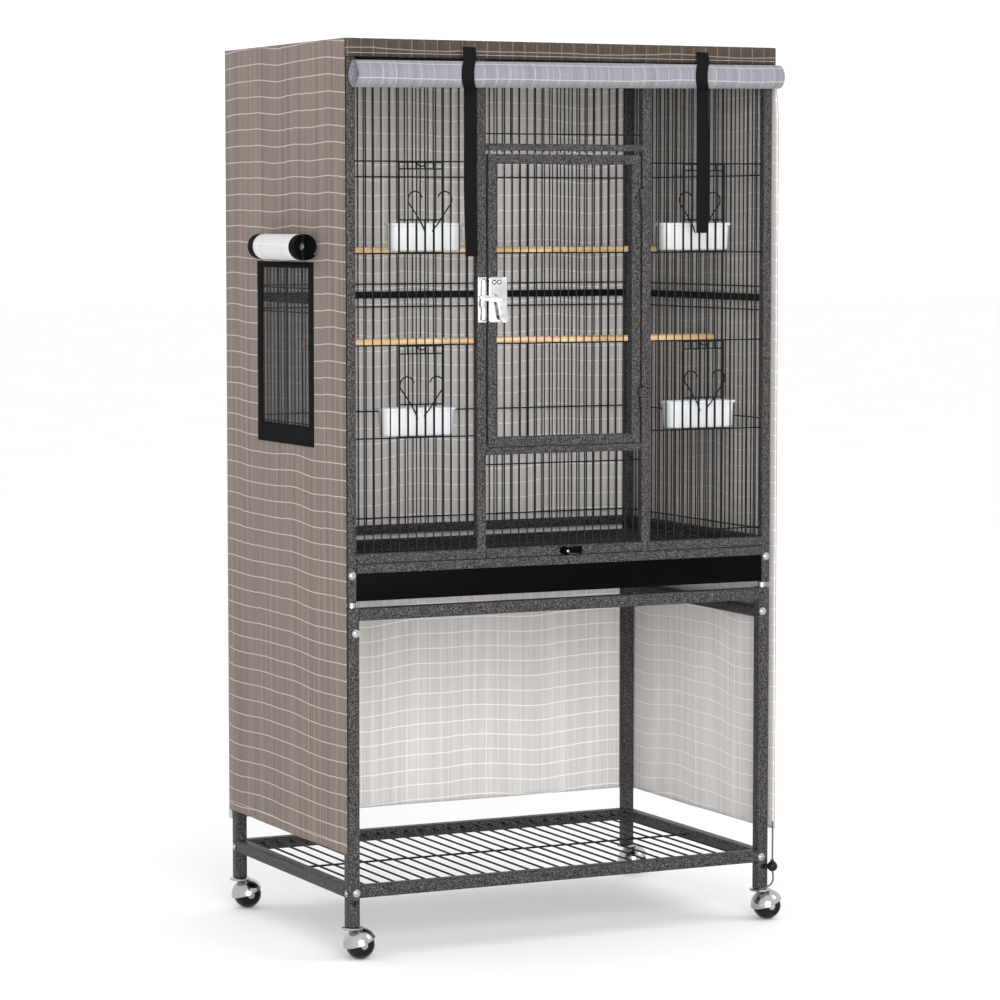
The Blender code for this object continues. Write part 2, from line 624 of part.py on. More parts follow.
# ---------------------------------------------------------------- tray and grate
def make_tray(enamel, steel):
    for name, side in (("left", -1), ("right", 1)):
        outer = side * (INSIDE_X - TOUCH)
        foot, web = solid(), solid()
        box(foot, (outer, -RUNNER_HALF, RUNNER_LOW),
            (outer - side * RUNNER_W, RUNNER_HALF, RUNNER_LOW + RUNNER_T))
        box(web, (outer, -RUNNER_HALF, RUNNER_LOW + RUNNER_T / 2),
            (outer - side * RUNNER_T, RUNNER_HALF, GRATE_HIGH - TOUCH))
        node(f"tray_runner_{name}", fused(foot, web), steel)

    half = INSIDE_X - TOUCH - RUNNER_T - SLIDE
    front, back = FRONT + TRAY_WALL, TRAY_BACK
    pan, face = solid(), solid()

    def ring(inset, z):
        return lift(rectangle(inset - half, front + inset, half - inset, back - inset), "z", z)

    floor_z = TRAY_LOW + TRAY_WALL
    loft(pan, [ring(0, TRAY_LOW), ring(0, TRAY_TOP), ring(TRAY_WALL, TRAY_TOP), ring(TRAY_WALL, floor_z)])
    wide = INSIDE_X - SLIDE
    box(face, (-wide, FRONT + TOUCH, TRAY_LOW + TOUCH), (wide, front + TRAY_WALL / 2, TRAY_TOP - TOUCH))
    node("tray", fused(pan, face), enamel, (0.0, FRONT, TRAY_LOW))

    front_bar, sides, ends, wires = solid(), solid(), solid(), solid()
    box(front_bar, (-wide, FRONT, GRATE_LOW), (wide, FRONT + TUBE, GRATE_HIGH))
    top = GRATE_LOW + GRATE_BAR
    for side in (-1, 1):
        box(sides, (side * half, FRONT + TUBE / 2, GRATE_LOW + TOUCH),
            (side * (half - GRATE_BAR), TRAY_BACK, top))
    box(ends, (TOUCH - half, TRAY_BACK - GRATE_BAR, GRATE_LOW + 2 * TOUCH),
        (half - TOUCH, TRAY_BACK - TOUCH, top - TOUCH))
    inner = half - GRATE_BAR
    wire_z = top - WIRE
    for x in spread(-inner, inner, PITCH):
        bar(wires, "y", (x, wire_z), FRONT + TUBE / 2, TRAY_BACK - GRATE_BAR / 2, WIRE)
    for y in (-DEPTH / 6, DEPTH / 6):
        reach = half - GRATE_BAR / 2
        bar(wires, "x", (y, wire_z - ROD_STEP), -reach, reach, WIRE)
    node("grate", fused(front_bar, sides, ends, wires), steel, (0.0, FRONT, GRATE_LOW))


def make_catch(steel, chrome):
    """The catch is turned aside, so that the tray and the grate are free to slide."""
    z = (RAIL_LOW + RAIL_HIGH) / 2
    face = FRONT - SLIDE
    disc, plate, screw, shank = solid(), solid(), solid(), solid()
    prism(disc, circle(CATCH_R, 14, (CATCH_X, z)), "y", face - CATCH_T, face)
    tip = CATCH_X + CATCH_LENGTH
    flare = [
        (CATCH_X, z - CATCH_R / 2), (tip, z - CATCH_TIP_R),
        (tip, z + CATCH_TIP_R), (CATCH_X, z + CATCH_R / 2),
    ]
    prism(plate, flare, "y", face - CATCH_T + TOUCH, face - TOUCH)
    pivot = (CATCH_X, face, z)
    node("tray_catch", fused(disc, plate), steel, pivot)
    head = face - CATCH_T - TOUCH
    prism(screw, circle(SCREW_R, 12, (CATCH_X, z)), "y", head - SCREW_H, head)
    prism(shank, capsule((CATCH_X, z - SCREW_R), (CATCH_X, z + SCREW_R), SCREW_R / 3), "y",
          head - WING_OUT, head - SCREW_H / 2)
    node("catch_screw", fused(screw, shank), chrome, pivot, "tray_catch")


# ---------------------------------------------------------------- feeding and perching
def make_feeder_doors(steel):
    places, first, middle = feeder_hole()
    half = (places[first + FEEDER_PITCHES] - places[first]) / 2 + FEEDER_LAP
    back = WIRE_Y - WIRE / 2 - SLIDE / 2
    for level, (low, high) in FEEDER_LEVELS.items():
        for name, side in (("left", -1), ("right", 1)):
            slab, windows, pull = solid(), solid(), solid()
            x = side * middle
            box(slab, (x - half, back - FEEDER_WIRE, low), (x + half, back, high))
            edges = [x - half, *spread(x - half, x + half, PITCH), x + half]
            for a, b in zip(edges, edges[1:]):
                left = a + (FEEDER_WIRE if a == edges[0] else FEEDER_WIRE / 2)
                right = b - (FEEDER_WIRE if b == edges[-1] else FEEDER_WIRE / 2)
                box(windows, (left, back - PULL_OUT, low + FEEDER_WIRE),
                    (right, back + PULL_OUT, high - FEEDER_WIRE))
            top = high - TOUCH
            box(pull, (x - PULL_W / 2, back - PULL_OUT, top - PULL_H),
                (x + PULL_W / 2, back - FEEDER_WIRE / 2, top))
            door = fused(combine(slab, windows, "DIFFERENCE"), pull)
            node(f"feeder_door_{level}_{name}", door, steel, (x, back, low))


def heart(width, height):
    """The middle line of a heart, with its point at (0, 0): two round lobes and two straights."""
    lobe = width / 4
    notch, point = (0.0, height - lobe), (0.0, 0.0)
    angles = [math.radians(a) for a in range(145, -36, -30)]
    right = [(lobe + lobe * math.cos(a), height - lobe + lobe * math.sin(a)) for a in angles]
    left = [(-u, v) for u, v in reversed(right)]
    return [notch, *right, point, *left]


def offset(line, by):
    """A closed line moved sideways along its own normals."""
    moved = []
    for i, (u, v) in enumerate(line):
        (pu, pv), (nu, nv) = line[i - 1], line[(i + 1) % len(line)]
        length = math.hypot(nu - pu, nv - pv)
        moved.append((u + by * (nv - pv) / length, v - by * (nu - pu) / length))
    return moved


def make_cups(plastic, steel):
    front = FRONT + CUP_BACK_OF_FRONT
    for name, (side, inwards, z) in CUPS.items():
        x = side * (BAY_X - inwards)
        cup = solid()

        def ring(inset, height):
            outline = rounded(CUP_W - 2 * inset, CUP_D - 2 * inset, CUP_CORNER - inset / 2)
            return [(x + u, front + CUP_D / 2 + v, z + height) for u, v in outline]

        rings = [
            ring(CUP_DRAFT, 0),
            ring(0, CUP_H),
            ring(CUP_WALL, CUP_H),
            ring(CUP_WALL + CUP_DRAFT, CUP_WALL),
        ]
        loft(cup, rings)
        node(f"cup_{name}", cup, plastic, (x, front, z))

        hanger, hollow = solid(), solid()
        line = [(x + u, z + HEART_LIFT + v) for u, v in heart(HEART_W, HEART_H)]
        near = front - HEART_WIRE
        prism(hanger, offset(line, -HEART_WIRE / 2), "y", near - HEART_WIRE / 2, near + HEART_WIRE / 2)
        prism(hollow, offset(line, HEART_WIRE / 2), "y", near - HEART_WIRE, near + HEART_WIRE)
        loop = combine(hanger, hollow, "DIFFERENCE")
        node(f"cup_hanger_{name}", loop, steel, (x, near, z + HEART_LIFT))


def make_perches(wood):
    reach = WIDTH / 2 - PLANE - WIRE / 2 - TOUCH
    for name, (share, z) in PERCHES.items():
        perch, y = solid(), share * DEPTH
        prism(perch, circle(PERCH_R, 10, (y, z)), "x", -reach, reach)
        node(name, perch, wood, (0.0, y, z))


# ---------------------------------------------------------------- cover
def make_cover(fabric, lining, mesh_cloth, webbing):
    inner, under = COVER_X - CLOTH, COVER_TOP - CLOTH
    back_in = BACK + COVER_GAP
    front_edge = FRONT - COVER_GAP - CLOTH
    top = solid()
    profile = [
        (front_edge, VALANCE_LOW), (front_edge + CLOTH, VALANCE_LOW), (front_edge + CLOTH, under),
        (back_in + CLOTH, under), (back_in + CLOTH, COVER_TOP), (front_edge, COVER_TOP),
    ]
    prism(top, profile, "x", -COVER_X, COVER_X)
    node("cover_top", top, fabric)

    back = solid()
    box(back, (-COVER_X, back_in, HEM_REST), (COVER_X, back_in + CLOTH, under - TOUCH))
    node("cover_back", back, fabric)
    right = solid()
    box(right, (inner, FRONT, HEM_REST), (COVER_X, back_in - TOUCH, under - TOUCH))
    node("cover_right", right, fabric)
    left, window, screen = solid(), solid(), solid()
    box(left, (-inner, FRONT, HEM_LEFT), (-COVER_X, back_in - TOUCH, under - TOUCH))
    box(window, (-inner + CLOTH, WINDOW_FRONT, WINDOW_LOW), (-COVER_X - CLOTH, WINDOW_BACK, WINDOW_HIGH))
    node("cover_left", combine(left, window, "DIFFERENCE"), fabric)
    near = -inner - (CLOTH - MESH_T) / 2
    box(screen, (near, WINDOW_FRONT + TOUCH, WINDOW_LOW + TOUCH),
        (near - MESH_T, WINDOW_BACK - TOUCH, WINDOW_HIGH - TOUCH))
    node("window_mesh", screen, mesh_cloth)

    roll, rings = solid(), []
    for x in (ROLL_LEFT, ROLL_RIGHT):
        y, z, radius = roll_at(x)
        rings.append(lift(circle(radius, 16, (y, z)), "x", x))
    loft(roll, rings)
    node("front_flap_roll", roll, lining)
    window_roll = solid()
    start, end, height = WINDOW_ROLL
    centre = (-COVER_X - WINDOW_ROLL_R - 3 * TOUCH, height)
    prism(window_roll, circle(WINDOW_ROLL_R, 16, centre), "y", start, end)
    node("window_flap_roll", window_roll, lining)

    for name, (share, low) in STRAPS.items():
        strap, left = solid(), share * WIDTH - STRAP_W / 2
        rings = []
        for x in (left, left + STRAP_W):
            rings.append(lift(strap_profile(roll_at(left), front_edge, low), "x", x))
        loft(strap, rings)
        node(name, strap, webbing)


def roll_at(x):
    """The front roll's axis, as (y, z), and its radius at a place along it."""
    share = (x - ROLL_LEFT) / (ROLL_RIGHT - ROLL_LEFT)
    radius = ROLL_R + (ROLL_R_RIGHT - ROLL_R) * share
    drop = ROLL_DROP + (ROLL_DROP_RIGHT - ROLL_DROP) * share
    return FRONT - radius - 3 * TOUCH, COVER_TOP - drop, radius


def strap_profile(roll, front_edge, low):
    """A strap's side view: down over the roll's front, then hanging from it."""
    y, z, radius = roll
    near, far = radius + STRAP_LIFT, radius + STRAP_LIFT + STRAP_T
    start, top = front_edge - 2 * TOUCH, COVER_TOP - STRAP_DROP
    hang = y + STRAP_BACK * radius
    angles = [math.radians(a) for a in range(115, 276, 20)]
    inside = [(y + near * math.cos(a), z + near * math.sin(a)) for a in angles]
    outside = [(y + far * math.cos(a), z + far * math.sin(a)) for a in angles]
    inside = [(start, top), *inside, (hang + STRAP_T, z - 2 * radius), (hang + STRAP_T, low)]
    outside = [(start - STRAP_T, top), *outside, (hang, z - 2 * radius), (hang, low)]
    return inside + outside[::-1]


# ---------------------------------------------------------------- drawstring
def smooth_path(points, spacing):
    """Even points on a smooth curve through the given ones."""
    points = [Vector(p) for p in points]
    padded = [2 * points[0] - points[1], *points, 2 * points[-1] - points[-2]]
    fine = []
    for p0, p1, p2, p3 in zip(padded, padded[1:], padded[2:], padded[3:]):
        for step in range(12):
            t = step / 12
            fine.append(
                0.5 * (2 * p1 + (p2 - p0) * t + (2 * p0 - 5 * p1 + 4 * p2 - p3) * t**2
                       + (3 * p1 - p0 - 3 * p2 + p3) * t**3)
            )
    fine.append(points[-1])
    lengths = [0.0]
    for a, b in zip(fine, fine[1:]):
        lengths.append(lengths[-1] + (b - a).length)
    count = max(2, round(lengths[-1] / spacing))
    path, i = [], 0
    for step in range(count + 1):
        target = lengths[-1] * step / count
        while i < len(fine) - 2 and lengths[i + 1] < target:
            i += 1
        span = lengths[i + 1] - lengths[i]
        path.append(fine[i].lerp(fine[i + 1], (target - lengths[i]) / span if span else 0.0))
    return path


def make_drawstring(cord, plastic):
    curve = bpy.data.curves.new("drawstring", "CURVE")
    curve.dimensions = "3D"
    route = [Vector((WIDTH / 2 + x, FRONT + y, z)) for x, y, z in CORD_ROUTE]
    path = smooth_path(route, 2.5 * CORD_D)
    spline = curve.splines.new("POLY")
    spline.points.add(len(path) - 1)
    for point, place_at in zip(spline.points, path):
        point.co = (*place_at, 1.0)
    curve.bevel_depth = CORD_D / 2
    curve.bevel_resolution = 2
    curve.use_fill_caps = True
    curve.materials.append(cord)
    place("drawstring", curve, (0.0, 0.0, 0.0), "cage_middle")

    centre = route[LOCK_AT]
    along = (route[LOCK_AT + 1] - route[LOCK_AT - 1]).normalized()
    ball, bore = solid(), solid()
    loft(ball, ball_rings(LOCK_R, LOCK_POLE, math.pi - LOCK_POLE, 6, 12))
    loft(bore, [lift(circle(CORD_D / 2 + 2 * TOUCH, 8), "z", z) for z in (-2 * LOCK_R, 2 * LOCK_R)])
    lock = combine(ball, bore, "DIFFERENCE")
    turn = Vector((0, 0, -1)).rotation_difference(along).to_matrix().to_4x4()
    bmesh.ops.transform(lock, matrix=Matrix.Translation(centre) @ turn, verts=lock.verts)
    node("cord_lock", lock, plastic, centre)


# ---------------------------------------------------------------- the whole
def centre_of_box():
    """The middle, in plan, of everything but the drawstring and its lock."""
    bpy.context.view_layer.update()
    corners = [
        item.matrix_world @ Vector(corner)
        for item in bpy.data.objects
        if item.type == "MESH" and item.name != "cord_lock"
        for corner in item.bound_box
    ]
    xs, ys = [c.x for c in corners], [c.y for c in corners]
    return Vector(((min(xs) + max(xs)) / 2, (min(ys) + max(ys)) / 2, 0.0))


def main():
    for item in list(bpy.data.objects):
        bpy.data.objects.remove(item)
    middle = bpy.data.objects.new("cage_middle", None)
    bpy.context.scene.collection.objects.link(middle)
    pivots["cage_middle"] = Vector((0.0, 0.0, 0.0))

    steel = finish("hammered_steel", (0.035, 0.033, 0.034), 0.45, 0.6)
    wire_steel = finish("black_wire", (0.025, 0.024, 0.025), 0.4, 0.5)
    enamel = finish("black_enamel", (0.012, 0.012, 0.012), 0.35)
    chrome = finish("chrome", (0.78, 0.78, 0.78), 0.15, 1.0)
    rubber = finish("black_rubber", (0.015, 0.015, 0.015), 0.55)
    white = finish("white_plastic", (0.85, 0.85, 0.84), 0.4)
    black = finish("black_plastic", (0.015, 0.015, 0.015), 0.4)
    wood = finish("pine", (0.62, 0.42, 0.24), 0.6)
    fabric = finish("taupe_check", (0.26, 0.20, 0.165), 0.9)
    lining = finish("pale_lining", (0.55, 0.52, 0.52), 0.7)
    netting = finish("black_netting", (0.02, 0.02, 0.02), 0.8)
    webbing = finish("black_webbing", (0.015, 0.015, 0.015), 0.8)
    cord = finish("grey_cord", (0.08, 0.08, 0.08), 0.7)

    make_stand(steel)
    make_casters(chrome, rubber)
    make_side_panels(steel)
    make_back_panel(steel)
    make_top_panel(steel)
    make_front_panel(steel)
    make_door(steel)
    add_post_knuckles(steel)
    make_latch(chrome)
    make_tray(enamel, steel)
    make_catch(steel, chrome)
    make_feeder_doors(wire_steel)
    make_cups(white, wire_steel)
    make_perches(wood)
    make_cover(fabric, lining, netting, webbing)
    make_drawstring(cord, black)
    middle.location = -centre_of_box()


main()
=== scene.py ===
"""A wheeled bird cage under its fabric cover: round wires, hammered steel, cloth and fittings.

Metres, +Z up, the front at -Y. Places come from the frame's own nodes. Each piece's object
sits at the origin and its place is in its mesh.
"""

import math

import bmesh
import bpy
from mathutils import Matrix, Vector, noise


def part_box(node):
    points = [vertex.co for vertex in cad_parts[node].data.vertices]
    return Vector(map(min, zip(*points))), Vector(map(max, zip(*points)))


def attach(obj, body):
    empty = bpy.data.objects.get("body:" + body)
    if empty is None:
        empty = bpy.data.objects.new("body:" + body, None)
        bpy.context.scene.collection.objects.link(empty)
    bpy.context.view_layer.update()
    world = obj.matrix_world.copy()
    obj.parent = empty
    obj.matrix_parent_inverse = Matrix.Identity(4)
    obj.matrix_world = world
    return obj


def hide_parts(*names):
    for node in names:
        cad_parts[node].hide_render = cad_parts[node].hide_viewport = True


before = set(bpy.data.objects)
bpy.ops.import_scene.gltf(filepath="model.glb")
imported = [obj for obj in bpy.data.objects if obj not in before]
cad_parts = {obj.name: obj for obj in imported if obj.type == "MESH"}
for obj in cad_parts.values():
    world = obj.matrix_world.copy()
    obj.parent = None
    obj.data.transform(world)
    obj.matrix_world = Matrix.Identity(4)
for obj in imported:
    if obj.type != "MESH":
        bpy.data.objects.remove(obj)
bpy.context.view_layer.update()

# ---- Sizes of the cage, shared with the frame
TUBE = 0.0155
LEG = 0.020
WIRE_R = 0.00115
PITCH = 0.0151
PLANE = 0.0035
ROD_STEP = 0.0026
SIDE_RODS = (0.674, 0.863, 1.047, 1.087, 1.275)
FRONT_RODS = (0.678, 0.848, 0.998, 1.146, 1.294)
DOOR_RODS = (0.998, 1.146)
HINGE_Z = (0.905, 1.235)
CLOTH = 0.0012
CORD_D = 0.003
CHECK_U, CHECK_V = 0.0225, 0.027

LEFT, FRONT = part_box("panel_left")[0].x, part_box("grille_left")[0].y
RIGHT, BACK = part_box("panel_right")[1].x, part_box("panel_back")[1].y
MID_X, MID_Y = (LEFT + RIGHT) / 2, (FRONT + BACK) / 2
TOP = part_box("panel_back")[1].z
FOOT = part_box("panel_back")[0].z
RAIL_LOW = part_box("grille_under_door")[0].z
RAIL_HIGH = RAIL_LOW + TUBE
TOP_RAIL = TOP - TUBE
INSIDE_X = (RIGHT - LEFT) / 2 - TUBE
INSIDE_Y = (BACK - FRONT) / 2 - TUBE
WIRE_Y = FRONT + PLANE
HALF_PI = math.pi / 2


def at(x, y=0.0, z=0.0):
    """A place given about the cage's middle, in the frame."""
    return Vector((MID_X + x, MID_Y + y, z))


# ---------------------------------------------------------------- materials
class Value:
    """A socket in a material: arithmetic on it adds Math nodes."""

    def __init__(self, finish, socket):
        self.finish, self.socket = finish, socket

    def _math(self, operation, *values):
        return self.finish.add("ShaderNodeMath", {"operation": operation}, dict(enumerate(values)))

    def __add__(self, other):
        return self._math("ADD", self, other)

    def __mul__(self, other):
        return self._math("MULTIPLY", self, other)

    def __sub__(self, other):
        return self._math("SUBTRACT", self, other)

    def __truediv__(self, other):
        return self._math("DIVIDE", self, other)

    def to(self, operation, *values):
        return self._math(operation, self, *values)


class Finish:
    """A procedural material built from its nodes."""

    def __init__(self, name, **fixed):
        self.material = bpy.data.materials.new(name)
        self.material.use_nodes = True
        self.tree = self.material.node_tree
        self.shader = self.tree.nodes["Principled BSDF"]
        self.set(**{key.replace("_", " "): value for key, value in fixed.items()})

    def add(self, kind, settings, values, out=0):
        """Any node: its settings first, then the values or links of its sockets."""
        node = self.tree.nodes.new(kind)
        for key, value in settings.items():
            if key == "stops":
                ramp = node.color_ramp
                while len(ramp.elements) < len(value):
                    ramp.elements.new(0.5)
                for element, (place, colour) in zip(ramp.elements, value):
                    element.position, element.color = place, (*colour, 1.0)
            else:
                setattr(node, key, value)
        for key, value in values.items():
            self.plug(node.inputs[key], value)
        return Value(self, node.outputs[out])

    def plug(self, socket, value):
        if isinstance(value, Value):
            self.tree.links.new(value.socket, socket)
        elif isinstance(value, tuple) and len(value) == 3 and socket.type == "RGBA":
            socket.default_value = (*value, 1.0)
        else:
            socket.default_value = value

    def set(self, **values):
        for key, value in values.items():
            self.plug(self.shader.inputs[key], value)

    def colour(self, value):
        self.plug(self.shader.inputs["Base Color"], value)

    def place(self, kind="Object"):
        return self.add("ShaderNodeTexCoord", {}, {}, kind)

    def uv(self):
        """The two directions of the piece's own UV map, in metres."""
        split = self.add("ShaderNodeSeparateXYZ", {}, {0: self.place("UV")})
        return split, Value(self, split.socket.node.outputs[1])

    def stretch(self, scale, vector=None):
        vector = vector or self.place()
        return self.add("ShaderNodeMapping", {}, {"Vector": vector, "Scale": scale})

    def noise(self, scale, detail=2.0, vector=None, roughness=0.5):
        values = {"Vector": vector or self.place(), "Scale": scale, "Detail": detail, "Roughness": roughness}
        return self.add("ShaderNodeTexNoise", {}, values)

    def cells(self, scale, feature="F1", **more):
        values = {"Vector": self.place(), "Scale": scale, **more}
        return self.add("ShaderNodeTexVoronoi", {"feature": feature}, values, "Distance")

    def fade(self, value, start, end, low=0.0, high=1.0):
        values = {0: value, 1: start, 2: end, 3: low, 4: high}
        return self.add("ShaderNodeMapRange", {"interpolation_type": "SMOOTHSTEP"}, values)

    def ramp(self, value, *stops):
        return self.add("ShaderNodeValToRGB", {"stops": stops}, {0: value})

    def mix(self, share, first, second):
        return self.add("ShaderNodeMix", {"data_type": "RGBA"}, {0: share, 6: first, 7: second}, 2)

    def stripes(self, value, pitch, width, soft=0.35):
        """1 on a line of a given width at each pitch, 0 between the lines."""
        off = (value / pitch).to("FRACT").to("SUBTRACT", 0.5).to("ABSOLUTE") * pitch
        return self.fade(off, pitch / 2 - width * (0.5 + soft), pitch / 2 - width * (0.5 - soft))

    def bump(self, height, distance, strength=1.0):
        values = {"Height": height, "Distance": distance, "Strength": strength}
        self.set(Normal=self.add("ShaderNodeBump", {}, values))


def hammered_steel():
    f = Finish("hammered_steel", Specular_IOR_Level=0.11)
    warp = f.noise(400.0, 2.0)
    dents = f.cells(500.0, "SMOOTH_F1", Smoothness=0.5)
    glint_flecks = f.cells(900.0)
    tone = dents * 0.55 + glint_flecks * 0.35 + warp * 0.35
    # The ramp's lower stops give the coat its own dark mottle; its bright top stop paints highlight specks
    # into the colour, a painted highlight.
    f.colour(f.ramp(tone, (0.24, (0.0009, 0.0009, 0.0009)), (0.44, (0.0030, 0.0028, 0.0028)),
                    (0.58, (0.0100, 0.0092, 0.0092)), (0.74, (0.080, 0.075, 0.075))))
    f.set(Roughness=f.fade(tone, 0.3, 0.7, 0.55, 0.38))
    f.bump(tone, 0.0006, 0.6)
    return f.material


def black_wire(name, dark, pale):
    f = Finish(name, Specular_IOR_Level=0.12)
    grain = f.noise(420.0, 3.0)
    f.colour(f.mix(grain, (dark,) * 3, (pale,) * 3))
    f.set(Roughness=f.fade(grain, 0.3, 0.7, 0.36, 0.5))
    f.bump(grain, 0.0002, 0.5)
    return f.material


def black_enamel():
    f = Finish("black_enamel", Specular_IOR_Level=0.03)
    cloud, fine = f.noise(9.0, 3.0), f.noise(700.0, 2.0)
    f.colour(f.mix(cloud, (0.0002, 0.0002, 0.0002), (0.0012, 0.0012, 0.0013)))
    f.set(Roughness=f.fade(cloud, 0.3, 0.7, 0.42, 0.55))
    f.bump(fine, 0.00015, 0.35)
    return f.material


def chrome(name, dark, pale):
    f = Finish(name, Metallic=1.0)
    cloud = f.noise(60.0, 2.0)
    scratches = f.noise(1.0, 3.0, f.stretch((40.0, 900.0, 300.0)))
    f.colour(f.mix(cloud, (dark, dark, dark * 1.02), (pale, pale, pale * 1.02)))
    f.set(Roughness=f.fade(scratches + cloud * 0.3, 0.5, 0.9, 0.10, 0.26))
    f.bump(scratches, 0.0001, 0.25)
    return f.material


def black_moulding(name, gloss=0.22, tint=(0.002, 0.002, 0.0022)):
    f = Finish(name, Specular_IOR_Level=0.2)
    cloud, fine = f.noise(70.0, 2.0), f.noise(900.0, 2.0)
    f.colour(f.mix(cloud, tint, tuple(c * 2.2 for c in tint)))
    f.set(Roughness=f.fade(cloud, 0.3, 0.7, gloss, gloss + 0.14))
    f.bump(fine, 0.00012, 0.3)
    return f.material


def white_plastic():
    f = Finish("white_plastic", Subsurface_Weight=0.08, Subsurface_Radius=(0.004, 0.004, 0.004))
    cloud, fine = f.noise(28.0, 2.0), f.noise(600.0, 2.0)
    f.colour(f.mix(cloud, (0.50, 0.51, 0.52), (0.58, 0.59, 0.60)))
    f.set(Roughness=f.fade(cloud, 0.3, 0.7, 0.28, 0.42))
    f.bump(fine, 0.00015, 0.3)
    return f.material


def pine():
    f = Finish("pine")
    rings = f.noise(1.0, 4.0, f.stretch((7.0, 230.0, 230.0)), 0.6)
    pores = f.noise(1.0, 2.0, f.stretch((60.0, 1500.0, 1500.0)))
    knots = f.noise(14.0, 1.0)
    grain = rings * 0.7 + pores * 0.2 + knots * 0.15
    f.colour(f.ramp(grain, (0.34, (0.36, 0.19, 0.085)), (0.50, (0.62, 0.41, 0.22)),
                    (0.64, (0.78, 0.60, 0.38))))
    f.set(Roughness=f.fade(grain, 0.3, 0.7, 0.66, 0.5))
    f.bump(grain, 0.0005, 0.5)
    return f.material


def checked_cloth(name, ground, shade, line, strength, wave, sheen=0.15):
    """Streaked cloth with a check of pale lines on its UV map; strength is that of the lines down it."""
    f = Finish(name, Sheen_Weight=sheen, Sheen_Roughness=0.5)
    u, v = f.uv()
    plane = f.place("UV")
    sway = f.noise(7.0, 2.0, plane) - 0.5
    wander = f.noise(1.0, 1.0, f.stretch((60.0, 6.0, 1.0), plane)) - 0.5
    streak = f.noise(1.0, 3.0, f.stretch((330.0, 3.0, 1.0), plane), 0.7)
    broad = f.noise(1.0, 2.0, f.stretch((70.0, 1.2, 1.0), plane), 0.6)
    weave = f.noise(1.0, 1.0, f.stretch((2200.0, 900.0, 1.0), plane))
    sag = f.noise(1.0, 0.0, f.stretch((7.0, 0.9, 1.0), plane)) - 0.5
    across = f.stripes(v + sag * wave + sway * 0.005 + wander * 0.002, CHECK_V, 0.0017)
    down = f.stripes(u + wander * 0.0015, CHECK_U, 0.0013)
    often = f.fade(f.noise(1.0, 1.0, f.stretch((44.0, 2.0, 1.0), plane)), 0.42, 0.58, 0.35, 0.9)
    lines = across.to("MAXIMUM", down * often * strength)
    tone = f.fade(streak * 0.6 + broad * 0.45, 0.40, 0.66)
    colour = f.mix(tone, shade, ground)
    f.colour(f.mix(lines * 0.85, colour, line))
    f.set(Roughness=f.fade(weave, 0.2, 0.8, 0.78, 0.92))
    f.bump(weave * 0.35 + streak * 0.8 + lines * 0.5, 0.0005, 0.6)
    return f.material


def black_cloth(name, pitch=0.0011, tint=0.0016):
    """Ribbed black cloth or webbing, its ribs across the UV map's second direction."""
    f = Finish(name, Specular_IOR_Level=0.08)
    u, v = f.uv()
    ribs = (v * (2 * math.pi / pitch)).to("SINE") * 0.5 + 0.5
    cross = (u * (2 * math.pi / (pitch * 1.6))).to("SINE") * 0.5 + 0.5
    fuzz = f.noise(900.0, 2.0)
    weave = ribs * 0.6 + cross * 0.25 + fuzz * 0.3
    dark, pale = (tint * 0.5,) * 3, (tint * 2.4,) * 3
    f.colour(f.mix(weave, dark, pale))
    f.set(Roughness=f.fade(fuzz, 0.2, 0.8, 0.78, 0.92))
    f.bump(weave, 0.0004, 0.6)
    return f.material


def netting():
    f = Finish("black_netting", Roughness=0.8)
    u, v = f.uv()
    pitch, thread = 0.0026, 0.0009
    threads = f.stripes(u + v, pitch, thread).to("MAXIMUM", f.stripes(u - v, pitch, thread))
    fuzz = f.noise(500.0, 2.0)
    f.colour(f.mix(fuzz, (0.002, 0.002, 0.002), (0.008, 0.008, 0.008)))
    f.set(Alpha=threads * 0.8 + 0.14)
    return f.material


def grey_cord():
    f = Finish("grey_cord")
    u, v = f.uv()
    ply = ((u * 2.0 + v / CORD_D) * (2 * math.pi)).to("SINE")
    back = ((u * 2.0 - v / CORD_D) * (2 * math.pi)).to("SINE")
    braid = (ply * back) * 0.5 + 0.5
    f.colour(f.mix(braid, (0.022, 0.022, 0.023), (0.11, 0.11, 0.115)))
    f.set(Roughness=f.fade(braid, 0.2, 0.8, 0.85, 0.65))
    f.bump(braid, 0.0004, 0.8)
    return f.material


def pale_floor():
    f = Finish("pale_floor", Roughness=0.75)
    cloud = f.noise(2.0, 3.0)
    f.colour(f.mix(cloud, (0.86, 0.86, 0.86), (0.90, 0.90, 0.90)))
    return f.material


STEEL, WIRE, ENAMEL = hammered_steel(), black_wire("black_wire", 0.0012, 0.0065), black_enamel()
CHROME, NICKEL = chrome("chrome", 0.30, 0.52), chrome("bright_nickel", 0.50, 0.78)
# A paler copy of the black wire for the floor grate: painted light, the same black wire given a lit grey
# colour where it lies inside the cage.
LIT_GRATE_WIRE = black_wire("grate_wire_painted_light", 0.030, 0.110)
BALL = black_moulding("glossy_black_ball", 0.12)
PLASTIC = black_moulding("black_plastic")
WHITE, PINE = white_plastic(), pine()
CHECK = checked_cloth("taupe_check", (0.158, 0.114, 0.090), (0.086, 0.061, 0.047), (0.45, 0.37, 0.31),
                      0.6, 0.016)
DARK_CHECK = checked_cloth("shaded_check", (0.046, 0.032, 0.022), (0.020, 0.014, 0.009), (0.20, 0.16, 0.13),
                           0.95, 0.008, 0.04)
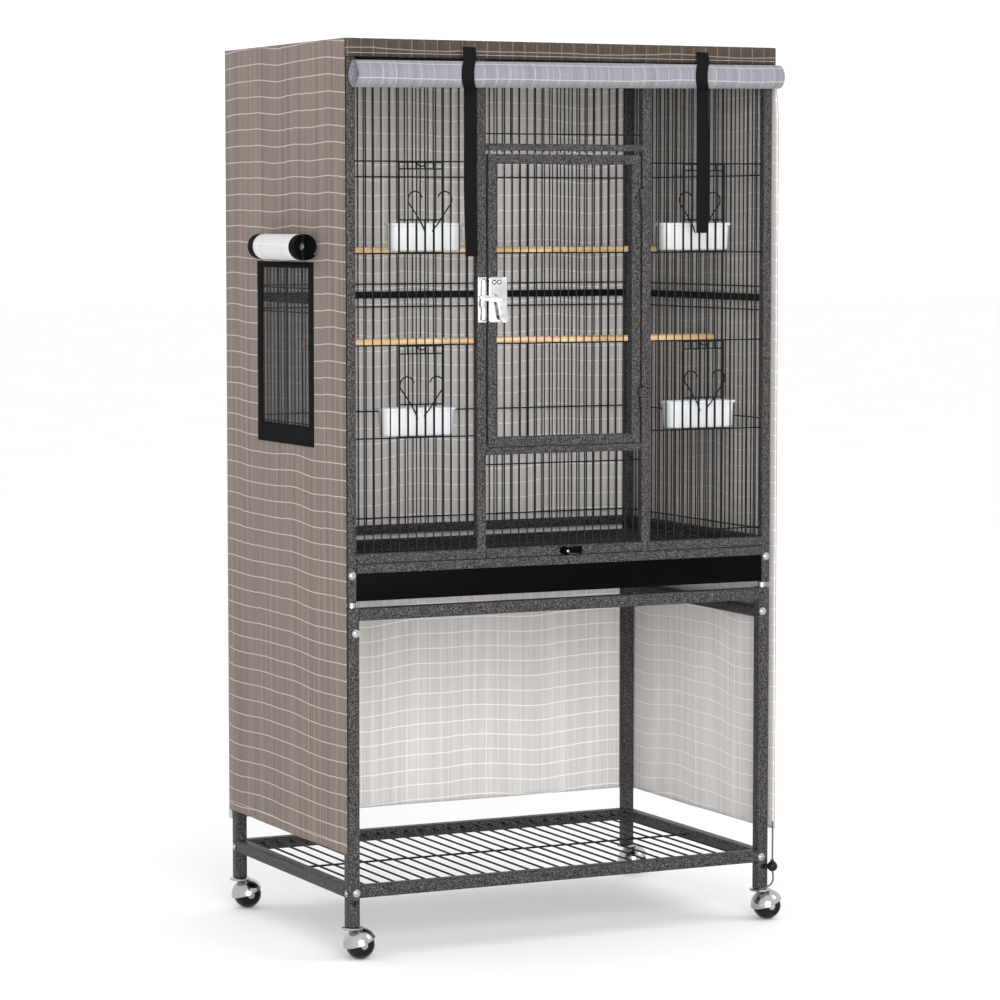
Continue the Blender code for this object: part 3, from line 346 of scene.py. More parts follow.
# One lining cloth in two copies: a paler one for the sides and top, kept bright so it reads lit through the
# wires, and a darker one for the back, painted shade against the lamp that falls straight on it.
LINING = checked_cloth("pale_lining", (0.68, 0.645, 0.62), (0.56, 0.53, 0.51), (0.86, 0.83, 0.80), 0.9, 0.034)
SHADED_BACK_LINING = checked_cloth("back_lining_painted_shade", (0.56, 0.53, 0.51), (0.46, 0.44, 0.42), (0.80, 0.77, 0.74),
                            0.9, 0.026)
SILVER = checked_cloth("silver_lining", (0.188, 0.184, 0.207), (0.134, 0.132, 0.155), (0.34, 0.33, 0.35),
                       0.95, 0.006)
WHITE_CLOTH = checked_cloth("white_flap", (0.58, 0.57, 0.57), (0.48, 0.47, 0.48), (0.64, 0.63, 0.63),
                            0.3, 0.010)
BINDING, WEBBING = black_cloth("black_binding"), black_cloth("black_webbing", 0.0019, 0.0022)
NETTING, CORD = netting(), grey_cord()


# ---------------------------------------------------------------- shapes
def solid():
    return bmesh.new()


def loft(bm, rings, finish=0):
    """A closed shape through rings of points."""
    rows = [[bm.verts.new(p) for p in ring] for ring in rings]
    count = len(rows[0])
    faces = []
    for low, high in zip(rows, rows[1:]):
        for i in range(count):
            j = (i + 1) % count
            faces.append(bm.faces.new((low[i], low[j], high[j], high[i])))
    faces.append(bm.faces.new(list(reversed(rows[0]))))
    faces.append(bm.faces.new(rows[-1]))
    for face in faces:
        face.material_index = finish


def frame_of(axis):
    """Two directions square to an axis."""
    side = axis.orthogonal().normalized()
    return side, axis.cross(side).normalized()


def circle(sides):
    return [2 * math.pi * i / sides for i in range(sides)]


def rounded(width, depth, corner, steps=3):
    """An oblong outline with round corners."""
    outline = []
    for i, (sx, sy) in enumerate(((1, 1), (-1, 1), (-1, -1), (1, -1))):
        for step in range(steps + 1):
            a = HALF_PI * (i + step / steps)
            outline.append((sx * (width / 2 - corner) + corner * math.cos(a),
                            sy * (depth / 2 - corner) + corner * math.sin(a)))
    return outline


def bar(bm, low, high, corner=0.0018, finish=0, end=0.0004):
    """A square tube with round long edges and slightly broken ends, along its longest side."""
    low, high = Vector(map(min, low, high)), Vector(map(max, low, high))
    size = high - low
    axis = max(range(3), key=lambda i: size[i])
    i, j = [k for k in range(3) if k != axis]
    corner = min(corner, size[i] * 0.45, size[j] * 0.45)
    rings = []
    for along, inset in ((low[axis], end), (low[axis] + end, 0), (high[axis] - end, 0), (high[axis], end)):
        ring = []
        for u, v in rounded(size[i] - 2 * inset, size[j] - 2 * inset, max(corner - inset, 1e-4)):
            p = Vector((0, 0, 0))
            p[axis], p[i], p[j] = along, (low[i] + high[i]) / 2 + u, (low[j] + high[j]) / 2 + v
            ring.append(p)
        rings.append(ring)
    loft(bm, rings, finish)


def lathe(bm, centre, axis, profile, sides=24, finish=0):
    """A closed turned shape: profile is (distance along the axis, radius), from one end to the other."""
    axis = Vector(axis).normalized()
    side, up = frame_of(axis)
    rings = [[Vector(centre) + axis * along + (side * math.cos(a) + up * math.sin(a)) * radius
              for a in circle(sides)] for along, radius in profile]
    loft(bm, rings, finish)


def dome(radius, height, base=0.0, steps=4):
    """A lathe profile for a low domed head with a small step under it."""
    profile = [(-0.0004, radius * 0.9), (base, radius), (base + height * 0.25, radius)]
    for i in range(1, steps + 1):
        a = HALF_PI * i / steps
        profile.append((base + height * (0.25 + 0.75 * math.sin(a)), radius * max(math.cos(a), 0.12)))
    return profile


def run_of(path):
    """The length along a path up to each of its points."""
    run = [0.0]
    for a, b in zip(path, path[1:]):
        run.append(run[-1] + math.dist(a, b))
    return run


def smooth_path(points, spacing):
    """Even points on a smooth curve through the given ones."""
    points = [Vector(p) for p in points]
    padded = [2 * points[0] - points[1], *points, 2 * points[-1] - points[-2]]
    fine = []
    for p0, p1, p2, p3 in zip(padded, padded[1:], padded[2:], padded[3:]):
        for step in range(12):
            t = step / 12
            fine.append(0.5 * (2 * p1 + (p2 - p0) * t + (2 * p0 - 5 * p1 + 4 * p2 - p3) * t**2
                               + (3 * p1 - p0 - 3 * p2 + p3) * t**3))
    fine.append(points[-1])
    lengths = run_of(fine)
    count = max(2, round(lengths[-1] / spacing))
    path, i = [], 0
    for step in range(count + 1):
        target = lengths[-1] * step / count
        while i < len(fine) - 2 and lengths[i + 1] < target:
            i += 1
        span = lengths[i + 1] - lengths[i]
        path.append(fine[i].lerp(fine[i + 1], (target - lengths[i]) / span if span else 0.0))
    return path


def sweep(bm, path, radius, sides=8, finish=0):
    """A round wire or cord along a path, with its UV map in turns and metres."""
    layer = bm.loops.layers.uv.verify()
    tangents = [(b - a).normalized() for a, b in zip(path, path[1:])]
    tangents = [tangents[0], *[(a + b).normalized() for a, b in zip(tangents, tangents[1:])], tangents[-1]]
    side = frame_of(tangents[0])[0]
    rings, run = [], run_of(path)
    for point, tangent in zip(path, tangents):
        side = (side - tangent * side.dot(tangent)).normalized()
        up = tangent.cross(side)
        rings.append([point + (side * math.cos(a) + up * math.sin(a)) * radius for a in circle(sides)])
    rows = [[bm.verts.new(p) for p in ring] for ring in rings]
    for row in range(len(rows) - 1):
        for i in range(sides):
            j = (i + 1) % sides
            face = bm.faces.new((rows[row][i], rows[row][j], rows[row + 1][j], rows[row + 1][i]))
            face.material_index = finish
            uvs = ((i, row), (i + 1, row), (i + 1, row + 1), (i, row + 1))
            for loop, (around, along) in zip(face.loops, uvs):
                loop[layer].uv = (around / sides, run[along])
    for row, turn in ((rows[0], True), (rows[-1], False)):
        face = bm.faces.new(list(reversed(row)) if turn else row)
        face.material_index = finish


def softened(node, width):
    """A merged copy of a node's mesh with its sharp edges rounded."""
    bm = solid()
    bm.from_mesh(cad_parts[node].data)
    bmesh.ops.remove_doubles(bm, verts=bm.verts, dist=1e-6)
    bmesh.ops.dissolve_limit(bm, angle_limit=math.radians(3), verts=bm.verts, edges=bm.edges)
    sharp = [e for e in bm.edges if len(e.link_faces) == 2 and e.calc_face_angle(0) > math.radians(30)]
    bmesh.ops.bevel(bm, geom=sharp, offset=width, segments=2, affect="EDGES", profile=0.5, clamp_overlap=True)
    return bm


# ---------------------------------------------------------------- repeats, by Geometry Nodes
class Grower:
    """A Geometry Nodes tree with named inputs that ends in Realize Instances and Set Material."""

    def __init__(self, name, inputs):
        self.tree = bpy.data.node_groups.new(name, "GeometryNodeTree")
        face = self.tree.interface
        face.new_socket("Geometry", in_out="INPUT", socket_type="NodeSocketGeometry")
        face.new_socket("Geometry", in_out="OUTPUT", socket_type="NodeSocketGeometry")
        self.keys = {}
        for key, kind in {**inputs, "Material": "NodeSocketMaterial"}.items():
            self.keys[key] = face.new_socket(key, in_out="INPUT", socket_type=kind).identifier
        self.start = self.add("NodeGroupInput")

    def add(self, kind, settings=None, **links):
        node = self.tree.nodes.new(kind)
        for key, value in (settings or {}).items():
            setattr(node, key, value)
        for key, value in links.items():
            socket = node.inputs[key.replace("_", " ")]
            if hasattr(value, "outputs"):
                value = value.outputs[0]
            if isinstance(value, bpy.types.NodeSocket):
                self.tree.links.new(value, socket)
            else:
                socket.default_value = value
        return node

    def given(self, key):
        return self.start.outputs[key]

    def end(self, grown):
        real = self.add("GeometryNodeRealizeInstances", Geometry=grown)
        shaded = self.add("GeometryNodeSetShadeSmooth", Geometry=real, Shade_Smooth=True)
        coated = self.add("GeometryNodeSetMaterial", Geometry=shaded, Material=self.given("Material"))
        self.add("NodeGroupOutput", Geometry=coated)

    def grow(self, material, source=None, **values):
        """A plain mesh of what the tree makes from a source mesh and its inputs."""
        item = bpy.data.objects.new("growing", source or bpy.data.meshes.new("seed"))
        bpy.context.scene.collection.objects.link(item)
        modifier = item.modifiers.new("grower", "NODES")
        modifier.node_group = self.tree
        modifier[self.keys["Material"]] = material
        for key, value in values.items():
            modifier[self.keys[key]] = value
        graph = bpy.context.evaluated_depsgraph_get()
        mesh = bpy.data.meshes.new_from_object(item.evaluated_get(graph), depsgraph=graph)
        bpy.data.objects.remove(item)
        return mesh


def wire_row_tree():
    """Straight round wires side by side."""
    tree = Grower("row_of_wires", {"First": "NodeSocketVector", "Step": "NodeSocketVector",
                                   "Reach": "NodeSocketVector", "Count": "NodeSocketInt",
                                   "Radius": "NodeSocketFloat", "Sides": "NodeSocketInt"})
    places = tree.add("GeometryNodeMeshLine", Count=tree.given("Count"), Start_Location=tree.given("First"),
                      Offset=tree.given("Step"))
    line = tree.add("GeometryNodeCurvePrimitiveLine", End=tree.given("Reach"))
    ring = tree.add("GeometryNodeCurvePrimitiveCircle", Resolution=tree.given("Sides"),
                    Radius=tree.given("Radius"))
    wire = tree.add("GeometryNodeCurveToMesh", Curve=line, Profile_Curve=ring, Fill_Caps=True)
    tree.end(tree.add("GeometryNodeInstanceOnPoints", Points=places, Instance=wire))
    return tree


def stitch_tree():
    """Short thread stitches laid end to end along the source's edges."""
    tree = Grower("row_of_stitches", {"Pitch": "NodeSocketFloat", "Thread": "NodeSocketFloat",
                                      "Length": "NodeSocketFloat"})
    curve = tree.add("GeometryNodeMeshToCurve", Mesh=tree.given("Geometry"))
    even = tree.add("GeometryNodeResampleCurve", {"mode": "LENGTH"}, Curve=curve, Length=tree.given("Pitch"))
    lean = tree.add("FunctionNodeAlignRotationToVector", {"axis": "Z"},
                    Vector=tree.add("GeometryNodeInputTangent"))
    thread = tree.add("GeometryNodeMeshUVSphere", Segments=6, Rings=4, Radius=tree.given("Thread"))
    ratio = tree.add("ShaderNodeMath", {"operation": "DIVIDE"})
    tree.tree.links.new(tree.given("Length"), ratio.inputs[0])
    tree.tree.links.new(tree.given("Thread"), ratio.inputs[1])
    size = tree.add("ShaderNodeCombineXYZ", X=1.0, Y=1.0, Z=ratio)
    laid = tree.add("GeometryNodeInstanceOnPoints", Points=even, Instance=thread, Rotation=lean, Scale=size)
    tree.end(laid)
    return tree


WIRES, STITCHES = wire_row_tree(), stitch_tree()


def absorb(bm, mesh, finish=0):
    """Adds a mesh's faces to a piece under one of its materials."""
    before = len(bm.faces)
    bm.from_mesh(mesh)
    bm.faces.ensure_lookup_table()
    for face in bm.faces[before:]:
        face.material_index = finish
    bpy.data.meshes.remove(mesh)


def wires(bm, first, last, reach, pitch=PITCH, radius=WIRE_R, finish=1, sides=8, ends=False):
    """Wires from first to last at about a pitch, as near as the room allows."""
    first, last = Vector(first), Vector(last)
    gaps = max(1, round((last - first).length / pitch))
    step = (last - first) / gaps
    start, count = (first, gaps + 1) if ends else (first + step, gaps - 1)
    absorb(bm, WIRES.grow(WIRE, First=start, Step=step, Reach=Vector(reach), Count=count,
                          Radius=radius, Sides=sides), finish)


def one_wire(bm, start, end, radius=WIRE_R, finish=1):
    start = Vector(start)
    absorb(bm, WIRES.grow(WIRE, First=start, Step=Vector((0, 0, 0)), Reach=Vector(end) - start, Count=1,
                          Radius=radius, Sides=8), finish)


def stitches(bm, path, pitch=0.0042, thread=0.00035, length=0.0013):
    line = bpy.data.meshes.new("seam")
    line.from_pydata([tuple(p) for p in path], [(i, i + 1) for i in range(len(path) - 1)], [])
    absorb(bm, STITCHES.grow(WIRE, line, Pitch=pitch, Thread=thread, Length=length))
    bpy.data.meshes.remove(line)


# ---------------------------------------------------------------- pieces
def thicken(item, thick, offset=0.0):
    shell = item.modifiers.new("thickness", "SOLIDIFY")
    shell.thickness, shell.offset = thick, offset
    return shell


def piece(name, bm, body, slot, *finishes, replaces=None, smooth=40, recalc=False, thick=None):
    """A finished piece at the origin, riding on a body."""
    if recalc:
        bmesh.ops.recalc_face_normals(bm, faces=bm.faces)
    mesh = bpy.data.meshes.new(name)
    bm.to_mesh(mesh)
    bm.free()
    mesh.shade_smooth()
    mesh.set_sharp_from_angle(angle=math.radians(smooth))
    for material in finishes:
        mesh.materials.append(material)
    item = bpy.data.objects.new(name, mesh)
    bpy.context.scene.collection.objects.link(item)
    if thick:
        shell = thicken(item, thick, -1.0)
        shell.use_even_offset = True
        shell.material_offset = 1 if len(finishes) > 1 else 0
    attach(item, body)
    if replaces:
        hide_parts(replaces)
    return item


# ---------------------------------------------------------------- camera and lights
CAMERA_AT, CAMERA_TURN = (-2.7043, -5.5325, 1.2041), (85.501, 0.0, -26.085)
LENS, SENSOR = 129.34, 36.0
WORLD_STRENGTH = 1.12
LAMPS = (  # name, place, aim, size, power
    ("front", (-1.8, -5.8, 1.7), (0.0, 0.0, 0.95), 3.5, 380.0),
    ("key", (3.0, -2.0, 3.4), (0.0, 0.0, 0.7), 1.6, 30.0),
)
FLOOR = ((-30, -12), (30, -12), (30, 40), (-30, 40))


def set_camera():
    camera = bpy.data.cameras.new("camera")
    camera.lens, camera.sensor_width = LENS, SENSOR
    item = bpy.data.objects.new("camera", camera)
    item.location = at(*CAMERA_AT)
    item.rotation_euler = [math.radians(a) for a in CAMERA_TURN]
    bpy.context.scene.collection.objects.link(item)
    bpy.context.scene.camera = item


def set_light():
    scene = bpy.context.scene
    scene.view_settings.view_transform = "Standard"
    world = bpy.data.worlds.new("studio")
    world.use_nodes = True
    sky = world.node_tree.nodes["Background"].inputs
    sky["Color"].default_value, sky["Strength"].default_value = (1.0, 1.0, 1.0, 1.0), WORLD_STRENGTH
    scene.world = world
    for name, place, aim, size, power in LAMPS:
        light = bpy.data.lights.new(name, "AREA")
        light.size, light.energy = size, power
        item = bpy.data.objects.new(name, light)
        item.location = place
        item.rotation_euler = (Vector(aim) - Vector(place)).to_track_quat("-Z", "Y").to_euler()
        scene.collection.objects.link(item)


def set_floor():
    bm = solid()
    bm.faces.new([bm.verts.new((x, y, 0.0)) for x, y in FLOOR])
    mesh = bpy.data.meshes.new("floor")
    bm.to_mesh(mesh)
    bm.free()
    mesh.materials.append(pale_floor())
    item = bpy.data.objects.new("floor", mesh)
    bpy.context.scene.collection.objects.link(item)


# ---------------------------------------------------------------- drawstring
CORD_ROUTE = (
    (0.3992, -0.2570, 0.1700),
    (0.3992, -0.2575, 0.1500),
    (0.3985, -0.2585, 0.1300),
    (0.3975, -0.2600, 0.1120),
    (0.3965, -0.2615, 0.0940),
    (0.3975, -0.2620, 0.0800),
    (0.3972, -0.2625, 0.0700),
    (0.3930, -0.2625, 0.0630),
    (0.3860, -0.2622, 0.0595),
    (0.3790, -0.2618, 0.0570),
    (0.3722, -0.2612, 0.0545),
    (0.3660, -0.2605, 0.0520),
)
LOCK_AT, LOCK_R = 4, 0.009


def make_drawstring():
    path = smooth_path([at(*p) for p in CORD_ROUTE], CORD_D)
    bm = solid()
    sweep(bm, path, CORD_D / 2, 10)
    cord = piece("drawstring_cord", bm, "root", "grey_cord", CORD, replaces="drawstring", smooth=80)

    centre = at(*CORD_ROUTE[LOCK_AT])
    along = (at(*CORD_ROUTE[LOCK_AT - 1]) - at(*CORD_ROUTE[LOCK_AT + 1])).normalized()
    ball = []
    for i in range(15):
        a = math.radians(168 - 156 * i / 14)
        groove = 0.94 if i == 10 else 1.0
        ball.append((LOCK_R * math.cos(a), LOCK_R * math.sin(a) * groove))
    bm = solid()
    lathe(bm, centre, along, ball, 28)
    lathe(bm, centre, along, [(0.0085, 0.0036), (0.0108, 0.0034), (0.0113, 0.0027)], 20)
    lock = piece("ball_cord_lock", bm, "root", "black_plastic", PLASTIC, replaces="cord_lock")


# ---------------------------------------------------------------- stand
STAND_EDGE = 0.0022
POST_TOP = 0.575
PLUG_R, PLUG_TOP = 0.0072, 0.0082
SHELF_PITCH, SHELF_WIRE_R = 0.028, 0.0017
CORNERS = {"front_left": (-1, -1), "front_right": (1, -1), "back_left": (-1, 1), "back_right": (1, 1)}


def bolt(bm, centre, axis, radius=0.0048, finish=1):
    """A domed bolt head on a thin washer."""
    lathe(bm, centre, axis, [(-0.0002, radius * 1.35), (0.0006, radius * 1.35)], 20, finish)
    lathe(bm, centre, axis, dome(radius, 0.0021, 0.0006), 20, finish)


def make_stand():
    for name, (sx, sy) in CORNERS.items():
        low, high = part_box(f"leg_{name}")
        middle = (low + high) / 2
        x_face, y_face = low.x if sx < 0 else high.x, low.y if sy < 0 else high.y
        bm = solid()
        bar(bm, low, (high.x, high.y, POST_TOP), STAND_EDGE)
        lathe(bm, (middle.x, middle.y, POST_TOP), (0, 0, 1), [(-0.0004, PLUG_R), (PLUG_TOP, PLUG_R)], 20, 1)
        for z in (0.110, 0.534):
            bolt(bm, (middle.x - sx * 0.0035, y_face, z), (0, sy, 0))
            bolt(bm, (x_face, middle.y, z - 0.001), (sx, 0, 0), 0.0042)
        lathe(bm, (middle.x, y_face, 0.094), (0, sy, 0), dome(0.0050, 0.0014), 16, 2)
        piece(f"leg_tube_{name}", bm, "root", "hammered_steel", STEEL, CHROME, PLASTIC,
              replaces=f"leg_{name}")
    for side in ("front", "back", "left", "right"):
        bm = solid()
        bar(bm, *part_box(f"stand_rail_{side}"), STAND_EDGE)
        piece(f"stand_tube_{side}", bm, "root", "hammered_steel", STEEL, replaces=f"stand_rail_{side}")

    low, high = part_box("shelf_rack")
    bm = solid()
    top, tube = high.z, LEG
    for y0 in (low.y, high.y - tube):
        bar(bm, (low.x + tube, y0, top - tube), (high.x - tube, y0 + tube, top), STAND_EDGE)
    for x0 in (low.x, high.x - tube):
        bar(bm, (x0, low.y + tube, top - tube), (x0 + tube, high.y - tube, top), STAND_EDGE)
    for sx, sy in CORNERS.values():
        corner = Vector((low.x if sx < 0 else high.x, low.y if sy < 0 else high.y, top - 0.006))
        inner = corner - Vector((sx * (tube + 0.012), sy * (tube + 0.012), 0))
        outer = corner - Vector((sx * (tube - 0.001), sy * (tube - 0.001), 0.009))
        bar(bm, inner, outer, 0.001)
    z = top - 0.007
    start, stop = low.x + tube, high.x - tube
    wires(bm, (start, low.y + tube / 2, z), (stop, low.y + tube / 2, z), (0, high.y - low.y - tube, 0),
          SHELF_PITCH, SHELF_WIRE_R, 1, 10)
    one_wire(bm, (low.x + tube / 2, MID_Y, z - 0.0035), (high.x - tube / 2, MID_Y, z - 0.0035), SHELF_WIRE_R)
    piece("shelf_frame_and_wires", bm, "root", "hammered_steel", STEEL, WIRE, replaces="shelf_rack")


HOOD_OUT, HOOD_IN = 0.0281, 0.0266
HOOD_TILT = Matrix.Rotation(math.radians(-20), 4, "Y")
CASTER_DISC = ((0.0490, 0.0085), (0.0500, 0.0165), (0.0512, 0.0178), (0.0532, 0.0178), (0.0542, 0.0165),
               (0.0547, 0.0080))


def make_casters():
    for name in CORNERS:
        low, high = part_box(f"caster_wheel_{name}")
        ball = (low + high) / 2
        radius = ball.z
        leg_low, leg_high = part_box(f"leg_{name}")

        bm = solid()
        tilt = Matrix.Translation(ball) @ HOOD_TILT
        angles = [math.radians(4 + 76 * i / 12) for i in range(13)]
        profile = [(HOOD_OUT, a) for a in angles] + [(HOOD_IN, a) for a in reversed(angles)]
        loft(bm, [[tilt @ (r * Vector((math.sin(a) * math.cos(t), math.sin(a) * math.sin(t), math.cos(a))))
                   for t in circle(36)] for r, a in profile])
        lathe(bm, ((leg_low.x + leg_high.x) / 2, (leg_low.y + leg_high.y) / 2, 0.0), (0, 0, 1),
              CASTER_DISC, 32)
        piece(f"caster_cap_{name}", bm, f"caster_{name}", "chrome", CHROME, replaces=f"caster_hood_{name}")

        bm = solid()
        half = (high.y - low.y) / 2
        profile = []
        for i in range(13):
            y = -half + 2 * half * i / 12
            r = math.sqrt(max(radius**2 - y**2, 0.0))
            profile.append((y, r * 0.965 if i == 6 else r))
        lathe(bm, ball, (0, 1, 0), profile, 40)
        for side in (-1, 1):
            lathe(bm, ball + Vector((0, side * half, 0)), (0, side, 0), dome(0.0062, 0.0018), 20, 1)
        piece(f"caster_ball_{name}", bm, f"wheel_{name}", "caster_black", BALL, CHROME,
              replaces=f"caster_wheel_{name}")


# ---------------------------------------------------------------- cage panels
WIRE_SINK = 0.004  # how far the wires run into the rails
BAND_LOW, BAND_HIGH, BAND_THICK, BAND_BEHIND = 1.062, 1.074, 0.0014, 0.0015
SIDE_BACK = MID_Y + INSIDE_Y - 0.0003
WIRES_UP = (0, 0, TOP_RAIL - RAIL_HIGH + 2 * WIRE_SINK)
THIRDS = (MID_Y - (BACK - FRONT) / 6, MID_Y + (BACK - FRONT) / 6)


def make_side_panels():
    for name, side in (("left", -1), ("right", 1)):
        outer = LEFT if side < 0 else RIGHT
        inner = outer - side * TUBE
        bm = solid()
        bar(bm, (outer, FRONT, FOOT), (inner, FRONT + TUBE, TOP))
        for z in (RAIL_LOW, TOP_RAIL):
            bar(bm, (outer, FRONT + TUBE - 0.001, z), (inner, SIDE_BACK, z + TUBE))
        x = outer - side * PLANE
        foot = RAIL_HIGH - WIRE_SINK
        wires(bm, (x, MID_Y - INSIDE_Y, foot), (x, MID_Y + INSIDE_Y, foot), WIRES_UP)
        rod_x = x - side * ROD_STEP
        for z in SIDE_RODS:
            one_wire(bm, (rod_x, FRONT + TUBE / 2, z), (rod_x, SIDE_BACK, z))
        near = x - side * BAND_BEHIND
        bar(bm, (near, FRONT + TUBE / 2, BAND_LOW), (near - side * BAND_THICK, SIDE_BACK, BAND_HIGH),
            0.0005, 1)
        bolt(bm, (outer - side * 0.0075, FRONT, 0.628), (0, -1, 0), finish=2)
        piece(f"side_{name}", bm, "root", "hammered_steel", STEEL, WIRE, CHROME, replaces=f"panel_{name}")


def make_back_panel():
    bm = solid()
    near = MID_Y + INSIDE_Y
    for x in (LEFT, RIGHT - TUBE):
        bar(bm, (x, near, FOOT), (x + TUBE, BACK, TOP))
    for z in (RAIL_LOW, TOP_RAIL):
        bar(bm, (LEFT + TUBE - 0.001, near, z), (RIGHT - TUBE + 0.001, BACK, z + TUBE))
    y = BACK - PLANE
    foot = RAIL_HIGH - WIRE_SINK
    wires(bm, (MID_X - INSIDE_X, y, foot), (MID_X + INSIDE_X, y, foot), WIRES_UP)
    for z in SIDE_RODS:
        one_wire(bm, (LEFT + TUBE / 2, y - ROD_STEP, z), (RIGHT - TUBE / 2, y - ROD_STEP, z))
    band = y - BAND_BEHIND
    bar(bm, (LEFT + TUBE / 2, band - BAND_THICK, BAND_LOW), (RIGHT - TUBE / 2, band, BAND_HIGH), 0.0005, 1)
    piece("back_grille", bm, "root", "hammered_steel", STEEL, WIRE, replaces="panel_back")


def make_top_panel():
    low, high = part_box("panel_top")
    bm = solid()
    width, depth = 0.012, 0.008
    for y0 in (low.y, high.y - width):
        bar(bm, (low.x, y0, high.z - depth), (high.x, y0 + width, high.z), 0.0012)
    for x0 in (low.x, high.x - width):
        bar(bm, (x0, low.y + width - 0.001, high.z - depth), (x0 + width, high.y - width + 0.001, high.z),
            0.0012)
    z = high.z - depth / 2
    wires(bm, (low.x + width, low.y + width / 2, z), (high.x - width, low.y + width / 2, z),
          (0, high.y - low.y - width, 0))
    for y in THIRDS:
        one_wire(bm, (low.x + width / 2, y, z - ROD_STEP), (high.x - width / 2, y, z - ROD_STEP))
    piece("top_grille", bm, "root", "hammered_steel", STEEL, WIRE, replaces="panel_top")


DOORWAY_HALF, DOOR_POST = 0.1445, 0.0165
POST_OUT = DOORWAY_HALF + DOOR_POST
FEEDER_PITCHES = 5
HOLE_SILL, HOLE_HIGH = 0.054, 0.136
FEEDER_LEVELS = {"lower": (0.848, 0.998), "upper": (1.146, 1.294)}


def front_places():
    """Where the front's wires stand beside the doorway, and which two edge a feeder hole."""
    gaps = round((INSIDE_X - POST_OUT) / PITCH)
    places = [POST_OUT + (INSIDE_X - POST_OUT) * i / gaps for i in range(1, gaps)]
    middles = [(places[i] + places[i + FEEDER_PITCHES]) / 2 for i in range(len(places) - FEEDER_PITCHES)]
    first = min(range(len(middles)), key=lambda i: abs(middles[i] - 0.258))
    return places, first, middles[first]


def make_front_panel():
    places, first, _ = front_places()
    last = first + FEEDER_PITCHES
    low_end, high_end = RAIL_HIGH - WIRE_SINK, TOP_RAIL + WIRE_SINK
    step = places[1] - places[0]
    holes = [(low + HOLE_SILL, low + HOLE_HIGH) for low, _ in FEEDER_LEVELS.values()]
    for name, side in (("left", -1), ("right", 1)):
        bm = solid()
        bar(bm, (MID_X + side * DOORWAY_HALF, FRONT, RAIL_LOW), (MID_X + side * POST_OUT, FRONT + TUBE, TOP))
        for z in (RAIL_LOW, TOP_RAIL):
            bar(bm, (MID_X + side * (POST_OUT - 0.001), FRONT, z),
                (MID_X + side * (INSIDE_X - 0.0003), FRONT + TUBE, z + TUBE))
        x0 = MID_X + side * places[0]
        for a, b in ((0, first), (last, len(places) - 1)):
            start = Vector((x0 + side * step * a, WIRE_Y, low_end))
            end = Vector((x0 + side * step * b, WIRE_Y, low_end))
            if a == b:
                one_wire(bm, start, (start.x, WIRE_Y, high_end))
            else:
                wires(bm, start, end, (0, 0, high_end - low_end), step, ends=True)
        levels = [low_end, *(z for hole in holes for z in hole), high_end]
        for low, high in zip(levels[::2], levels[1::2]):
            wires(bm, (x0 + side * step * (first + 1), WIRE_Y, low),
                  (x0 + side * step * (last - 1), WIRE_Y, low), (0, 0, high - low), step, ends=True)
        rod_y = WIRE_Y + ROD_STEP
        for z in FRONT_RODS:
            one_wire(bm, (MID_X + side * (POST_OUT - 0.004), rod_y, z),
                     (MID_X + side * (INSIDE_X - 0.0003), rod_y, z))
        for z in (z for hole in holes for z in hole):
            one_wire(bm, (MID_X + side * places[first], WIRE_Y, z), (MID_X + side * places[last], WIRE_Y, z))
        if side > 0:
            for z in HINGE_Z:
                hinge_knuckle(bm, z - 0.0163, MID_X + DOORWAY_HALF + 0.004)
        piece(f"front_{name}", bm, "root", "hammered_steel", STEEL, WIRE, replaces=f"grille_{name}")

    spans = (("over_door", 1.313, 1.324, TOP_RAIL, TOP, 1.340),
             ("under_door", 0.816, 0.828, RAIL_LOW, RAIL_HIGH, 0.800))
    reach = DOORWAY_HALF - 0.0003
    for name, low, high, far_low, far_high, rod_z in spans:
        bm = solid()
        for z0, z1 in ((low, high), (far_low, far_high)):
            bar(bm, (MID_X - reach, FRONT, z0), (MID_X + reach, FRONT + TUBE, z1))
        beyond = low - 0.003 if name == "over_door" else high + 0.00075
        start, end = sorted((beyond, (far_low + far_high) / 2))
        wires(bm, (MID_X - DOORWAY_HALF, WIRE_Y, start), (MID_X + DOORWAY_HALF, WIRE_Y, start),
              (0, 0, end - start))
        rod_y = WIRE_Y + ROD_STEP
        one_wire(bm, (MID_X - reach + 0.002, rod_y, rod_z), (MID_X + reach - 0.002, rod_y, rod_z))
        piece(f"front_{name}", bm, "root", "hammered_steel", STEEL, WIRE, replaces=f"grille_{name}")


# ---------------------------------------------------------------- door and latch
HINGE_X, HINGE_Y = MID_X + 0.14275, FRONT - 0.0048
KNUCKLE = ((0, 0.0038), (0.0004, 0.0042), (0.0156, 0.0042), (0.016, 0.0038))
PIN = ((0.0155, 0.002), (0.0162, 0.0032), (0.0178, 0.0030), (0.0184, 0.0018))


def hinge_knuckle(bm, low, lug_to):
    """A knuckle on the hinge's axis and the lug that joins it to a tube."""
    lathe(bm, (HINGE_X, HINGE_Y, low), (0, 0, 1), KNUCKLE, 20)
    x0, x1 = sorted((HINGE_X, lug_to))
    bar(bm, (x0, HINGE_Y - 0.0021, low + 0.0004), (x1, FRONT + 0.0008, low + 0.0156), 0.0008)


